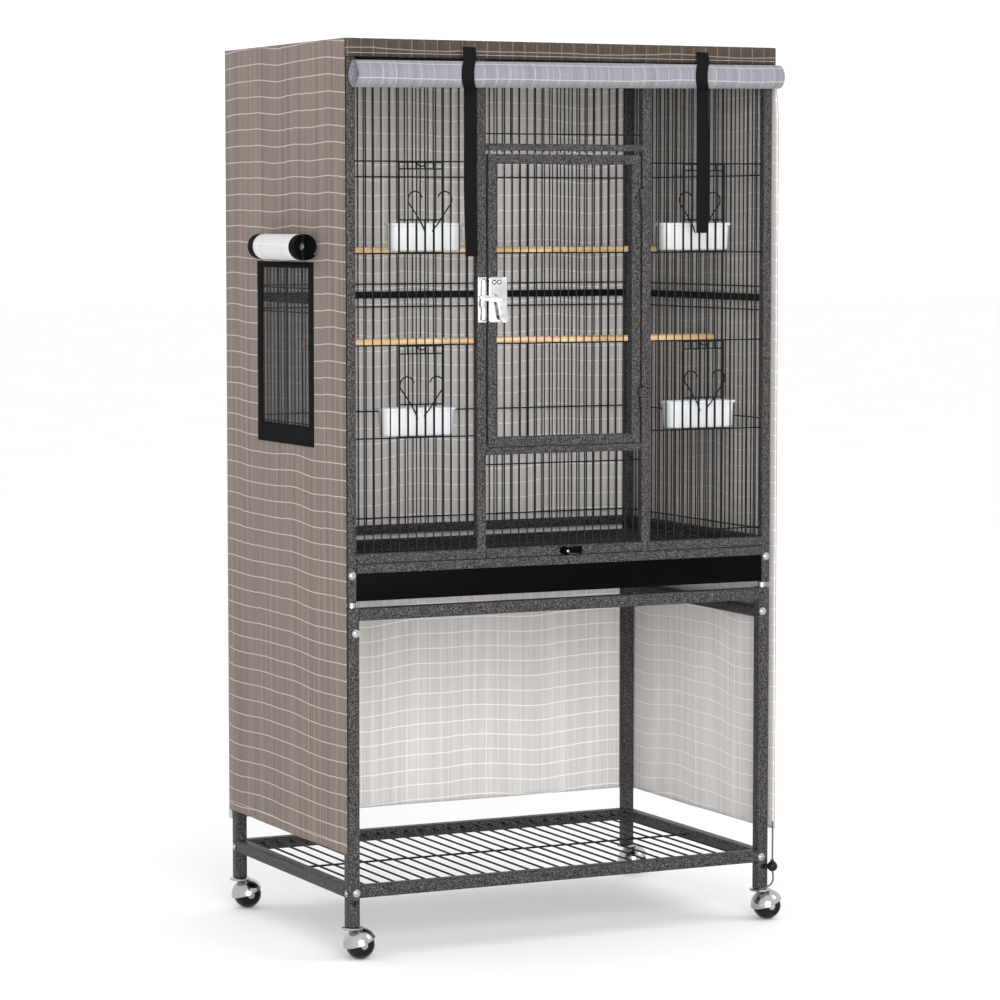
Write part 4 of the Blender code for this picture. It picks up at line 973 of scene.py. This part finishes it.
def make_door():
    half, tube, bottom, top = 0.141, 0.016, 0.829, 1.307
    bm = solid()
    left, right = MID_X - half, MID_X + half
    bar(bm, (left, FRONT, bottom), (left + tube, FRONT + tube, top))
    bar(bm, (right - tube, FRONT, bottom), (right, FRONT + tube, top))
    for z in (bottom, top - tube):
        bar(bm, (left + tube - 0.001, FRONT, z), (right - tube + 0.001, FRONT + tube, z + tube))
    inner = half - tube
    wires(bm, (MID_X - inner, WIRE_Y, bottom + tube / 2), (MID_X + inner, WIRE_Y, bottom + tube / 2),
          (0, 0, top - bottom - tube))
    reach, y = inner + WIRE_SINK, WIRE_Y + ROD_STEP
    for z in DOOR_RODS:
        one_wire(bm, (MID_X - reach, y, z), (MID_X + reach, y, z))
    for z in HINGE_Z:
        hinge_knuckle(bm, z, MID_X + half - 0.004)
        lathe(bm, (HINGE_X, HINGE_Y, z), (0, 0, 1), PIN, 16, 1)
    piece("door_frame", bm, "door", "hammered_steel", STEEL, WIRE, replaces="door")


def make_latch():
    low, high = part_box("latch_plate")
    bm = solid()
    centre, wide, tall = (low + high) / 2, high.x - low.x, high.z - low.z
    rings = []
    for inset, y in ((0.0003, high.y), (0.0, high.y - 0.0003), (0.0, low.y + 0.0005), (0.0005, low.y)):
        outline = rounded(wide - 2 * inset, tall - 2 * inset, 0.0052, 6)
        rings.append([Vector((centre.x + u, y, centre.z + v)) for u, v in outline])
    loft(bm, rings)
    screws = [(centre.x - 0.0068, high.z - 0.0085), (centre.x + 0.0022, high.z - 0.0085),
              (centre.x + 0.0040, low.z + 0.0075)]
    for x, z in screws:
        lathe(bm, (x, low.y, z), (0, -1, 0), [(-0.0002, 0.0037), (0.0005, 0.0037), (0.0006, 0.0034)], 20, 1)
        lathe(bm, (x, low.y, z), (0, -1, 0), dome(0.0024, 0.0009, 0.0005), 16)
    piece("latch_backplate", bm, "door", "chrome", NICKEL, ENAMEL, replaces="latch_plate", recalc=True)

    low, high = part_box("latch_keeper")
    bm = softened("latch_keeper", 0.0005)
    middle = (low.x + high.x) / 2
    for z in (high.z - 0.0055, low.z + 0.0055):
        screw = (middle + 0.0022, low.y + 0.0030, z)
        lathe(bm, screw, (0, -1, 0), [(-0.002, 0.0030), (0.0005, 0.0030)], 16, 1)
        lathe(bm, screw, (0, -1, 0), dome(0.0021, 0.0008, 0.0005), 16)
    piece("latch_post", bm, "root", "chrome", NICKEL, ENAMEL, replaces="latch_keeper", smooth=50)
    bm = softened("latch_lever", 0.0007)
    pivot = (MID_X - 0.124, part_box("latch_lever")[0].y + 0.0002, 1.070)
    lathe(bm, pivot, (0, -1, 0), dome(0.0036, 0.0014), 20)
    piece("latch_hook", bm, "latch", "chrome", NICKEL, replaces="latch_lever", smooth=50)


# ---------------------------------------------------------------- tray, grate, catch
def make_tray():
    bm = softened("tray", 0.0007)
    piece("tray_pan", bm, "tray", "black_enamel", ENAMEL, replaces="tray", smooth=50)
    for side in ("left", "right"):
        bm = softened(f"tray_runner_{side}", 0.0004)
        piece(f"runner_{side}", bm, "root", "hammered_steel", STEEL, replaces=f"tray_runner_{side}")

    low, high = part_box("grate")
    bm = solid()
    bar(bm, low, (high.x, low.y + TUBE, low.z + TUBE))
    half = INSIDE_X - 0.0024
    rod, top = 0.008, low.z + 0.008
    for side in (-1, 1):
        bar(bm, (MID_X + side * half, low.y + TUBE - 0.001, low.z + 0.0003),
            (MID_X + side * (half - rod), high.y, top), 0.0012)
    bar(bm, (MID_X - half + rod, high.y - rod, low.z + 0.0006), (MID_X + half - rod, high.y, top), 0.0012)
    inner, z = half - rod, top - 0.0023
    wires(bm, (MID_X - inner, low.y + TUBE / 2, z), (MID_X + inner, low.y + TUBE / 2, z),
          (0, high.y - low.y - TUBE / 2 - rod / 2, 0))
    for y in THIRDS:
        one_wire(bm, (MID_X - half + WIRE_SINK, y, z - ROD_STEP), (MID_X + half - WIRE_SINK, y, z - ROD_STEP))
    # The grate's wires take the paler copy of the black wire, which is painted light.
    piece("floor_grate", bm, "grate", "hammered_steel", STEEL, LIT_GRATE_WIRE, replaces="grate")

    bm = softened("tray_catch", 0.0005)
    piece("turning_catch", bm, "catch", "black_enamel", ENAMEL, replaces="tray_catch", smooth=50)
    bm = softened("catch_screw", 0.0004)
    low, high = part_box("catch_screw")
    tip = Vector(((low.x + high.x) / 2, low.y + 0.0003, (low.z + high.z) / 2))
    lathe(bm, tip, (0, -1, 0), dome(0.0024, 0.0012), 16, 1)
    piece("thumb_screw", bm, "catch", "black_enamel", ENAMEL, CHROME, replaces="catch_screw", smooth=50)


# ---------------------------------------------------------------- feeding and perching
PULL = ((-0.0075, 0, -0.002), (-0.0072, -0.0022, -0.0035), (-0.004, None, -0.0068), (0, None, -0.0078),
        (0.004, None, -0.0068), (0.0072, -0.0022, -0.0035), (0.0075, 0, -0.002))


def make_feeder_doors():
    """Each has a pull bent out of wire under its top rod; None stands for the pull's full reach."""
    radius = 0.0013
    for level, (low_z, high_z) in FEEDER_LEVELS.items():
        for side in ("left", "right"):
            low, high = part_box(f"feeder_door_{level}_{side}")
            y = high.y - radius
            bm = solid()
            left, right = low.x + radius, high.x - radius
            wires(bm, (left, y, low_z + radius), (right, y, low_z + radius),
                  (0, 0, high_z - low_z - 2 * radius),
                  PITCH, radius, 0, 8, ends=True)
            for z in (low_z + radius, high_z - radius):
                one_wire(bm, (low.x, y, z), (high.x, y, z), radius, 0)
            middle, out = (left + right) / 2, low.y + radius
            arch = [(middle + u, out if back is None else y + back, high_z + w) for u, back, w in PULL]
            sweep(bm, smooth_path(arch, 0.001), radius * 0.9)
            piece(f"feeder_gate_{level}_{side}", bm, f"feeder_{level}_{side}", "black_wire", WIRE,
                  replaces=f"feeder_door_{level}_{side}", smooth=50)


CUP_WIDER = 1.055  # the visible cup against its solid
CUP_WALL, CUP_CORNER = 0.0018, 0.014


def make_cups():
    for level in ("lower", "upper"):
        for side in ("left", "right"):
            name = f"{level}_{side}"
            low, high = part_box(f"cup_{name}")
            centre = (low + high) / 2
            width, depth, tall = CUP_WIDER * (high.x - low.x), high.y - low.y, high.z - low.z
            bm = solid()

            def ring(inset, height):
                corner = max(CUP_CORNER - inset * 0.3, 0.004)
                outline = rounded(width - 2 * inset, depth - 2 * inset, corner, 6)
                return [Vector((centre.x + u, centre.y + v, low.z + height)) for u, v in outline]

            wall = CUP_WALL
            rings = [ring(0.010, 0.0), ring(0.0062, 0.0008), ring(0.0045, 0.003), ring(0.0030, tall - 0.006),
                     ring(0.0029, tall - 0.0045), ring(0.0002, tall - 0.004), ring(0.0, tall - 0.003),
                     ring(0.0, tall - 0.0008), ring(0.0006, tall), ring(0.0032, tall),
                     ring(0.0042, tall - 0.0012), ring(0.0030 + wall, tall - 0.006),
                     ring(0.0045 + wall, 0.0055), ring(0.0075 + wall, 0.003), ring(0.012, wall)]
            loft(bm, rings)
            piece(f"seed_cup_{name}", bm, "root", "white_plastic", WHITE, replaces=f"cup_{name}", smooth=60)
            make_hanger(name)


STRAND = ((0.36, 0.85, 0), (0.46, 0.94, 0), (0.66, 0.985, 0), (0.87, 0.94, 0), (0.97, 0.84, 0),
          (0.95, 0.72, 0), (0.76, 0.58, 0), (0.34, 0.24, 0.0015), (0.12, 0.05, 0.0075),
          (-0.04, -0.10, 0.0090), (-0.16, -0.24, 0.0088))


def make_hanger(name):
    """Two strands that cross at the heart's point and curl in at its shoulders."""
    low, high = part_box(f"cup_hanger_{name}")
    x, y = (low.x + high.x) / 2, (low.y + high.y) / 2
    wide, tall, base = high.x - low.x, high.z - low.z, low.z
    bm = solid()
    for side, forward in ((-1, -0.0006), (1, 0.0006)):
        points = [(x + side * u * wide / 2, y + forward + inward, base + v * tall) for u, v, inward in STRAND]
        sweep(bm, smooth_path(points, 0.002), 0.0012)
    piece(f"cup_hook_{name}", bm, "root", "black_wire", WIRE, replaces=f"cup_hanger_{name}", smooth=60)


def make_perches():
    for name in ("perch_lower", "perch_upper"):
        low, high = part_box(name)
        centre = (low + high) / 2
        radius, length = (high.z - low.z) / 2, high.x - low.x
        profile = [(0.0, radius * 0.82), (0.0008, radius)]
        count = 24
        for i in range(1, count):
            wobble = 1.0 - 0.012 * (1 + math.sin(i * 2.3 + low.z * 9)) / 2
            profile.append((length * i / count, radius * wobble))
        profile += [(length - 0.0008, radius), (length, radius * 0.82)]
        bm = solid()
        lathe(bm, (low.x, centre.y, centre.z), (1, 0, 0), profile, 24)
        piece(f"wooden_{name}", bm, "root", "pine", PINE, replaces=name, smooth=60)


# ---------------------------------------------------------------- cover
def billow(s, z, top, bottom, seed, most=0.0045):
    """How far hanging cloth stands out at a place, growing from its top edge to its hem."""
    drop = min(1.0, max(0.0, (top - z) / (top - bottom)))
    sway = (math.sin(s * 17.0 + seed + 0.6 * math.sin(z * 3.1 + seed))
            + 0.6 * math.sin(s * 41.0 + 2.1 * seed + 0.8 * math.sin(z * 4.3))
            + 0.35 * noise.noise(Vector((s * 14.0, z * 5.0, seed))))
    return most * (0.15 + 0.85 * drop) * (0.5 + sway / 3.9)


OUTWARD = ((0, 0), (1, 0), (1, 1), (0, 1))
INWARD = OUTWARD[::-1]


def quads(bm, across, along, point, order=OUTWARD, hole=None, finish_at=None):
    """A grid of faces: across and along are its UV places, and point(i, j) gives each corner."""
    layer = bm.loops.layers.uv.verify()
    grid = [[bm.verts.new(point(i, j)) for j in range(len(along))] for i in range(len(across))]
    for i in range(len(across) - 1):
        middle = (across[i] + across[i + 1]) / 2
        for j in range(len(along) - 1):
            if hole and hole[0] < middle < hole[1] and hole[2] < (along[j] + along[j + 1]) / 2 < hole[3]:
                continue
            corners = [(i + a, j + b) for a, b in order]
            face = bm.faces.new([grid[a][b] for a, b in corners])
            face.material_index = finish_at(middle) if finish_at else 0
            for loop, (a, b) in zip(face.loops, corners):
                loop[layer].uv = (across[a], along[b])


def sheet_mesh(bm, columns, rows, place, order=INWARD, hole=None):
    """A grid of cloth: place(s, z) gives the point, and the UV map is s and z in metres."""
    quads(bm, columns, rows, lambda i, j: place(columns[i], rows[j]), order, hole)
    for vert in [v for v in bm.verts if not v.link_faces]:
        bm.verts.remove(vert)


def hem(name, line):
    """A row of stitches as a piece of its own."""
    seam = solid()
    stitches(seam, line)
    piece(name, seam, "root", "cover_check", LINING)


def steps(start, end, size, *through):
    """Even places from start to end that also pass through some given ones."""
    marks = [start, *sorted(through), end]
    places = []
    for a, b in zip(marks, marks[1:]):
        count = max(1, round((b - a) / size))
        places += [a + (b - a) * i / count for i in range(count)]
    return [*places, end]


COVER_LEFT, COVER_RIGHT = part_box("cover_left")[0].x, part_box("cover_right")[1].x
COVER_BACK, COVER_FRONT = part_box("cover_back")[1].y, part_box("cover_top")[0].y
COVER_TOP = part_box("cover_top")[1].z
WINDOW_LOW, WINDOW_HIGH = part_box("window_mesh")
HEM, SEAM_END, ON_CLOTH, FLARE = 0.016, 0.004, 0.0003, 0.009


def make_cover():
    """The two sides and the back; the left side has the window's opening."""
    flank = COVER_TOP - 0.0008
    for name, x, out, seed in (("left", COVER_LEFT, -1, 1.3), ("right", COVER_RIGHT, 1, 4.1)):
        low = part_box(f"cover_{name}")[0]
        hole, marks_s, marks_z = None, (), ()
        if name == "left":
            hole = (WINDOW_LOW.y, WINDOW_HIGH.y, WINDOW_LOW.z, WINDOW_HIGH.z)
            marks_s, marks_z = hole[:2], hole[2:]

        def place(s, z, x=x, out=out, seed=seed, low=low, hole=hole):
            stand = billow(s, z, flank, low.z, seed)
            stand *= min(1.0, (s - FRONT) / 0.03, (COVER_BACK - s) / 0.03) if FRONT < s < COVER_BACK else 0.0
            if hole:
                away = max(hole[0] - s, s - hole[1], hole[2] - z, z - hole[3], 0.0)
                stand *= min(1.0, away / 0.05)
            flare = FLARE * max(0.0, 1 - (s - low.y) / 0.07) * min(1.0, (flank - z) / 0.12) if out > 0 else 0.0
            return Vector((x + out * (stand + flare), s, z))

        bm = solid()
        sheet_mesh(bm, steps(low.y, COVER_BACK, 0.006, *marks_s), steps(low.z, flank, 0.009, *marks_z), place,
                   INWARD if out < 0 else OUTWARD, hole)
        area = (COVER_BACK - low.y) * (flank - low.z)
        if hole:
            area -= (hole[1] - hole[0]) * (hole[3] - hole[2])
        cloth = piece(f"cover_cloth_{name}", bm, "root", "cover_check", CHECK, LINING,
                      replaces=f"cover_{name}", smooth=80, thick=CLOTH)
        hem(f"hem_stitches_{name}", [place(s, low.z + HEM) + Vector((out * ON_CLOTH, 0, 0))
                                     for s in steps(low.y + SEAM_END, COVER_BACK - SEAM_END, 0.01)])

    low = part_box("cover_back")[0]

    def back_place(s, z):
        stand = billow(s, z, flank, low.z, 7.7)
        stand *= max(0.0, min(1.0, (s - COVER_LEFT) / 0.03, (COVER_RIGHT - s) / 0.03))
        return Vector((s, COVER_BACK + stand, z))

    bm = solid()
    sheet_mesh(bm, steps(COVER_LEFT, COVER_RIGHT, 0.008), steps(low.z, flank, 0.009), back_place)
    cloth = piece("cover_cloth_back", bm, "root", "cover_check", CHECK, SHADED_BACK_LINING, replaces="cover_back",
                  smooth=80, thick=CLOTH)
    hem("hem_stitches_back", [back_place(s, low.z + HEM) + Vector((0, ON_CLOTH, 0))
                              for s in steps(COVER_LEFT + SEAM_END, COVER_RIGHT - SEAM_END, 0.01)])
    make_cover_top()


def make_cover_top():
    """The top runs forward and folds down over the front as a short valance."""
    bend = 0.003
    profile = [(COVER_BACK, COVER_TOP), (COVER_FRONT + bend, COVER_TOP)]
    for i in range(1, 6):
        a = HALF_PI * i / 5
        profile.append((COVER_FRONT + bend - bend * math.sin(a), COVER_TOP - bend + bend * math.cos(a)))
    valance_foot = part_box("cover_top")[0].z
    profile.append((COVER_FRONT, valance_foot))
    path = smooth_straight([Vector((0, y, z)) for y, z in profile], 0.006)
    run = run_of(path)
    fold = run[-1] - (COVER_TOP - path[-1].z)
    columns = steps(COVER_LEFT, COVER_RIGHT, 0.008)

    def point(i, j):
        x, p, sag = columns[i], path[j], 0.0
        if p.z > COVER_TOP - 1e-4:
            edge = min(x - COVER_LEFT, COVER_RIGHT - x, COVER_BACK - p.y, p.y - COVER_FRONT)
            sag = -0.0010 * (0.5 + 0.5 * math.sin(x * 31 + p.y * 12)) * min(1.0, edge / 0.02)
        return Vector((x, p.y, p.z + sag))

    bm = solid()
    quads(bm, columns, [d - fold - 0.017 for d in run], point, INWARD)
    cloth = piece("cover_cloth_top", bm, "root", "cover_check", DARK_CHECK, LINING, replaces="cover_top",
                  smooth=80, thick=CLOTH)
    y, z = COVER_FRONT - ON_CLOTH, valance_foot + 0.006
    line = steps(COVER_LEFT + SEAM_END, COVER_RIGHT - SEAM_END, 0.02)
    hem("valance_stitches", [Vector((x, y, z)) for x in line])
    piping = solid()
    for x in (COVER_LEFT + 0.0012, COVER_RIGHT - 0.0012):
        line = steps(COVER_FRONT + 0.002, COVER_BACK - 0.001, 0.02)
        sweep(piping, [Vector((x, y, COVER_TOP - 0.0012)) for y in line], 0.0012)
    y, z = COVER_FRONT + 0.0012, COVER_TOP - 0.0012
    line = steps(COVER_LEFT + 0.001, COVER_RIGHT - 0.001, 0.02)
    sweep(piping, [Vector((x, y, z)) for x in line], 0.0013)
    piece("top_seam_piping", piping, "root", "cover_check", DARK_CHECK, smooth=80)


def smooth_straight(points, size):
    """The same line with no step longer than a size."""
    line = []
    for a, b in zip(points, points[1:]):
        count = max(1, round((b - a).length / size))
        line += [a.lerp(b, i / count) for i in range(count)]
    return [*line, points[-1]]


def spiral(outer, inner, length, phase, wind, per_turn=22):
    """A rolled sheet's side view from its outer end inwards."""
    pitch = math.pi * (outer**2 - inner**2) / length
    turns = (outer - inner) / pitch
    count = int(turns * per_turn)
    points = []
    for i in range(count + 1):
        a = phase + wind * 2 * math.pi * turns * i / count
        r = outer - (outer - inner) * i / count
        points.append((r * math.cos(a), r * math.sin(a)))
    return points


def rolled(name, axis, ends, outer, inner, length, thick, finishes, replaces, black_ends=0.0, phase=0.0,
           wind=1):
    """A sheet wound into a roll along X or Y, with small creases along it and its ends sunk in the middle.

    Each end is (place along the axis, middle across, middle up, radius).
    """
    line = spiral(outer, inner, length, phase, wind)
    run = run_of(line)
    start, stop = ends[0][0], ends[1][0]
    marks = (start + black_ends, stop - black_ends) if black_ends else ()
    columns = steps(start, stop, 0.012, *marks)

    def point(i, j):
        s, (u, v) = columns[i], line[j]
        _, across, up, radius = Vector(ends[0]).lerp(Vector(ends[1]), (s - start) / (stop - start))
        crease = radius / outer - 0.018 * abs(noise.noise(Vector((s * 9.0, j * 0.21, outer * 100))))
        u, v = u * crease, v * crease
        s += 0.45 * (radius - math.hypot(u, v)) * ((s == start) - (s == stop))
        return Vector((s, across + u, up + v) if axis == "x" else (across + u, s, up + v))

    bm = solid()
    quads(bm, columns, run, point,
          finish_at=lambda s: int(black_ends > 0 and not start + black_ends <= s <= stop - black_ends))
    item = piece(name, bm, "root", "cover_lining", *finishes, replaces=replaces, smooth=80)
    thicken(item, thick)
    stop - start


ROLL_R, ROLL_R_RIGHT = 0.0218, 0.0196
ROLL_DROP, ROLL_DROP_RIGHT = 0.0575, 0.0500


def roll_at(x):
    """The front roll's place along X, the middle of its axis across and up, and its radius."""
    low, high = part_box("front_flap_roll")
    share = (x - low.x) / (high.x - low.x)
    radius = ROLL_R + (ROLL_R_RIGHT - ROLL_R) * share
    drop = ROLL_DROP + (ROLL_DROP_RIGHT - ROLL_DROP) * share
    return x, FRONT - radius - 0.0009, COVER_TOP - drop, radius


def make_rolls():
    low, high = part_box("front_flap_roll")
    rolled("rolled_front_flap", "x", (roll_at(low.x), roll_at(high.x)), ROLL_R, 0.004, 1.20, 0.0007,
           (SILVER,), "front_flap_roll", phase=math.radians(60))
    low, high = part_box("window_flap_roll")
    radius = (high.x - low.x) / 2
    across, up = (low.x + high.x) / 2, (low.z + high.z) / 2
    ends = ((low.y, across, up, radius), (high.y, across, up, radius))
    rolled("rolled_window_flap", "y", ends, radius - 0.0006, 0.006, 0.36, 0.0011,
           (WHITE_CLOTH, BINDING), "window_flap_roll", black_ends=0.024, phase=math.radians(-40), wind=-1)


def make_window():
    """Netting behind the opening, and its black binding sewn round the edge."""
    low, high = WINDOW_LOW, WINDOW_HIGH
    x = (low.x + high.x) / 2
    bm = solid()

    def place(s, z):
        across, up = (s - low.y) / (high.y - low.y), (z - low.z) / (high.z - low.z)
        return Vector((x - 0.0006 * math.sin(math.pi * across) * math.sin(math.pi * up), s, z))

    sheet_mesh(bm, steps(low.y, high.y, 0.012), steps(low.z, high.z, 0.012), place)
    net = piece("window_netting", bm, "root", "black_netting", NETTING, replaces="window_mesh", smooth=80)

    bm = solid()
    side, bottom, top, lap = 0.018, 0.030, 0.007, 0.003
    outer = (low.y - lap, high.y + lap, low.z - lap, high.z + lap)
    inner = (low.y + side, high.y - side, low.z + bottom, high.z - top)
    sheet_mesh(bm, steps(outer[0], outer[1], 0.006, inner[0], inner[1]),
               steps(outer[2], outer[3], 0.006, inner[2], inner[3]),
               lambda s, z: Vector((COVER_LEFT - 0.0006 - 0.0002 * math.sin(s * 60 + z * 45), s, z)),
               hole=inner)
    piece("window_binding", bm, "root", "black_netting", BINDING, smooth=80, thick=0.0009)
    seam = solid()
    gap = 0.004
    loops = ((outer[0] + gap, outer[1] - gap, outer[2] + gap, outer[3] - gap),
             (inner[0] - gap, inner[1] + gap, inner[2] - gap, inner[3] + gap))
    for a, b, c, d in loops:
        ring = [Vector((COVER_LEFT - 0.0010, s, z)) for s, z in ((a, c), (b, c), (b, d), (a, d), (a, c))]
        stitches(seam, smooth_straight(ring, 0.02), 0.0036, 0.0003, 0.0011)
    piece("binding_stitches", seam, "root", "black_netting", WEBBING)


STRAP_HELD, STRAP_THICK = 0.09, 0.0012


def make_straps():
    """Webbing from the valance round the roll, hanging free below it."""
    for side in ("left", "right"):
        low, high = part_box(f"strap_{side}")
        middle, width = (low.x + high.x) / 2, high.x - low.x
        _, roll_y, roll_z, radius = roll_at(low.x)
        near = radius + 0.0009 + 0.0007
        hang = roll_y + 0.4 * radius + 0.0008
        line = [(COVER_FRONT - 0.0012, high.z)]
        line += [(roll_y + near * math.cos(math.radians(a)), roll_z + near * math.sin(math.radians(a)))
                 for a in range(115, 276, 10)]
        line += [(hang, roll_z - 2 * radius), (hang - 0.001, low.z + 0.12), (hang + 0.0005, low.z)]
        path = smooth_path([Vector((0, y, z)) for y, z in line], 0.003)
        run = run_of(path)
        columns = [middle + width * (k / 8 - 0.5) for k in range(9)]

        def point(i, j):
            x, p, d = columns[i], path[j], run[j]
            free = max(0.0, (d - STRAP_HELD) / (run[-1] - STRAP_HELD))
            forward = min(1.0, max(0.0, (COVER_FRONT - p.y) / (2 * radius)))
            drift = 0.0016 * free * math.sin(d * 21 + middle * 40) - 0.0015 * (1 - free)
            drift -= 0.022 * forward ** 1.5
            curl = 0.0008 * ((x - middle) / (width / 2)) ** 2 * free
            return Vector((x + drift, p.y - curl, p.z))

        bm = solid()
        quads(bm, columns, run, point, ((0, 0), (0, 1), (1, 1), (1, 0)))
        item = piece(f"roll_strap_{side}", bm, "root", "black_webbing", WEBBING, replaces=f"strap_{side}",
                     smooth=80)
        thicken(item, STRAP_THICK)


def main():
    set_camera()
    make_drawstring()
    set_light()
    set_floor()
    make_stand()
    make_casters()
    make_side_panels()
    make_back_panel()
    make_top_panel()
    make_front_panel()
    make_door()
    make_latch()
    make_tray()
    make_feeder_doors()
    make_cups()
    make_perches()
    make_cover()
    make_rolls()
    make_window()
    make_straps()


main()
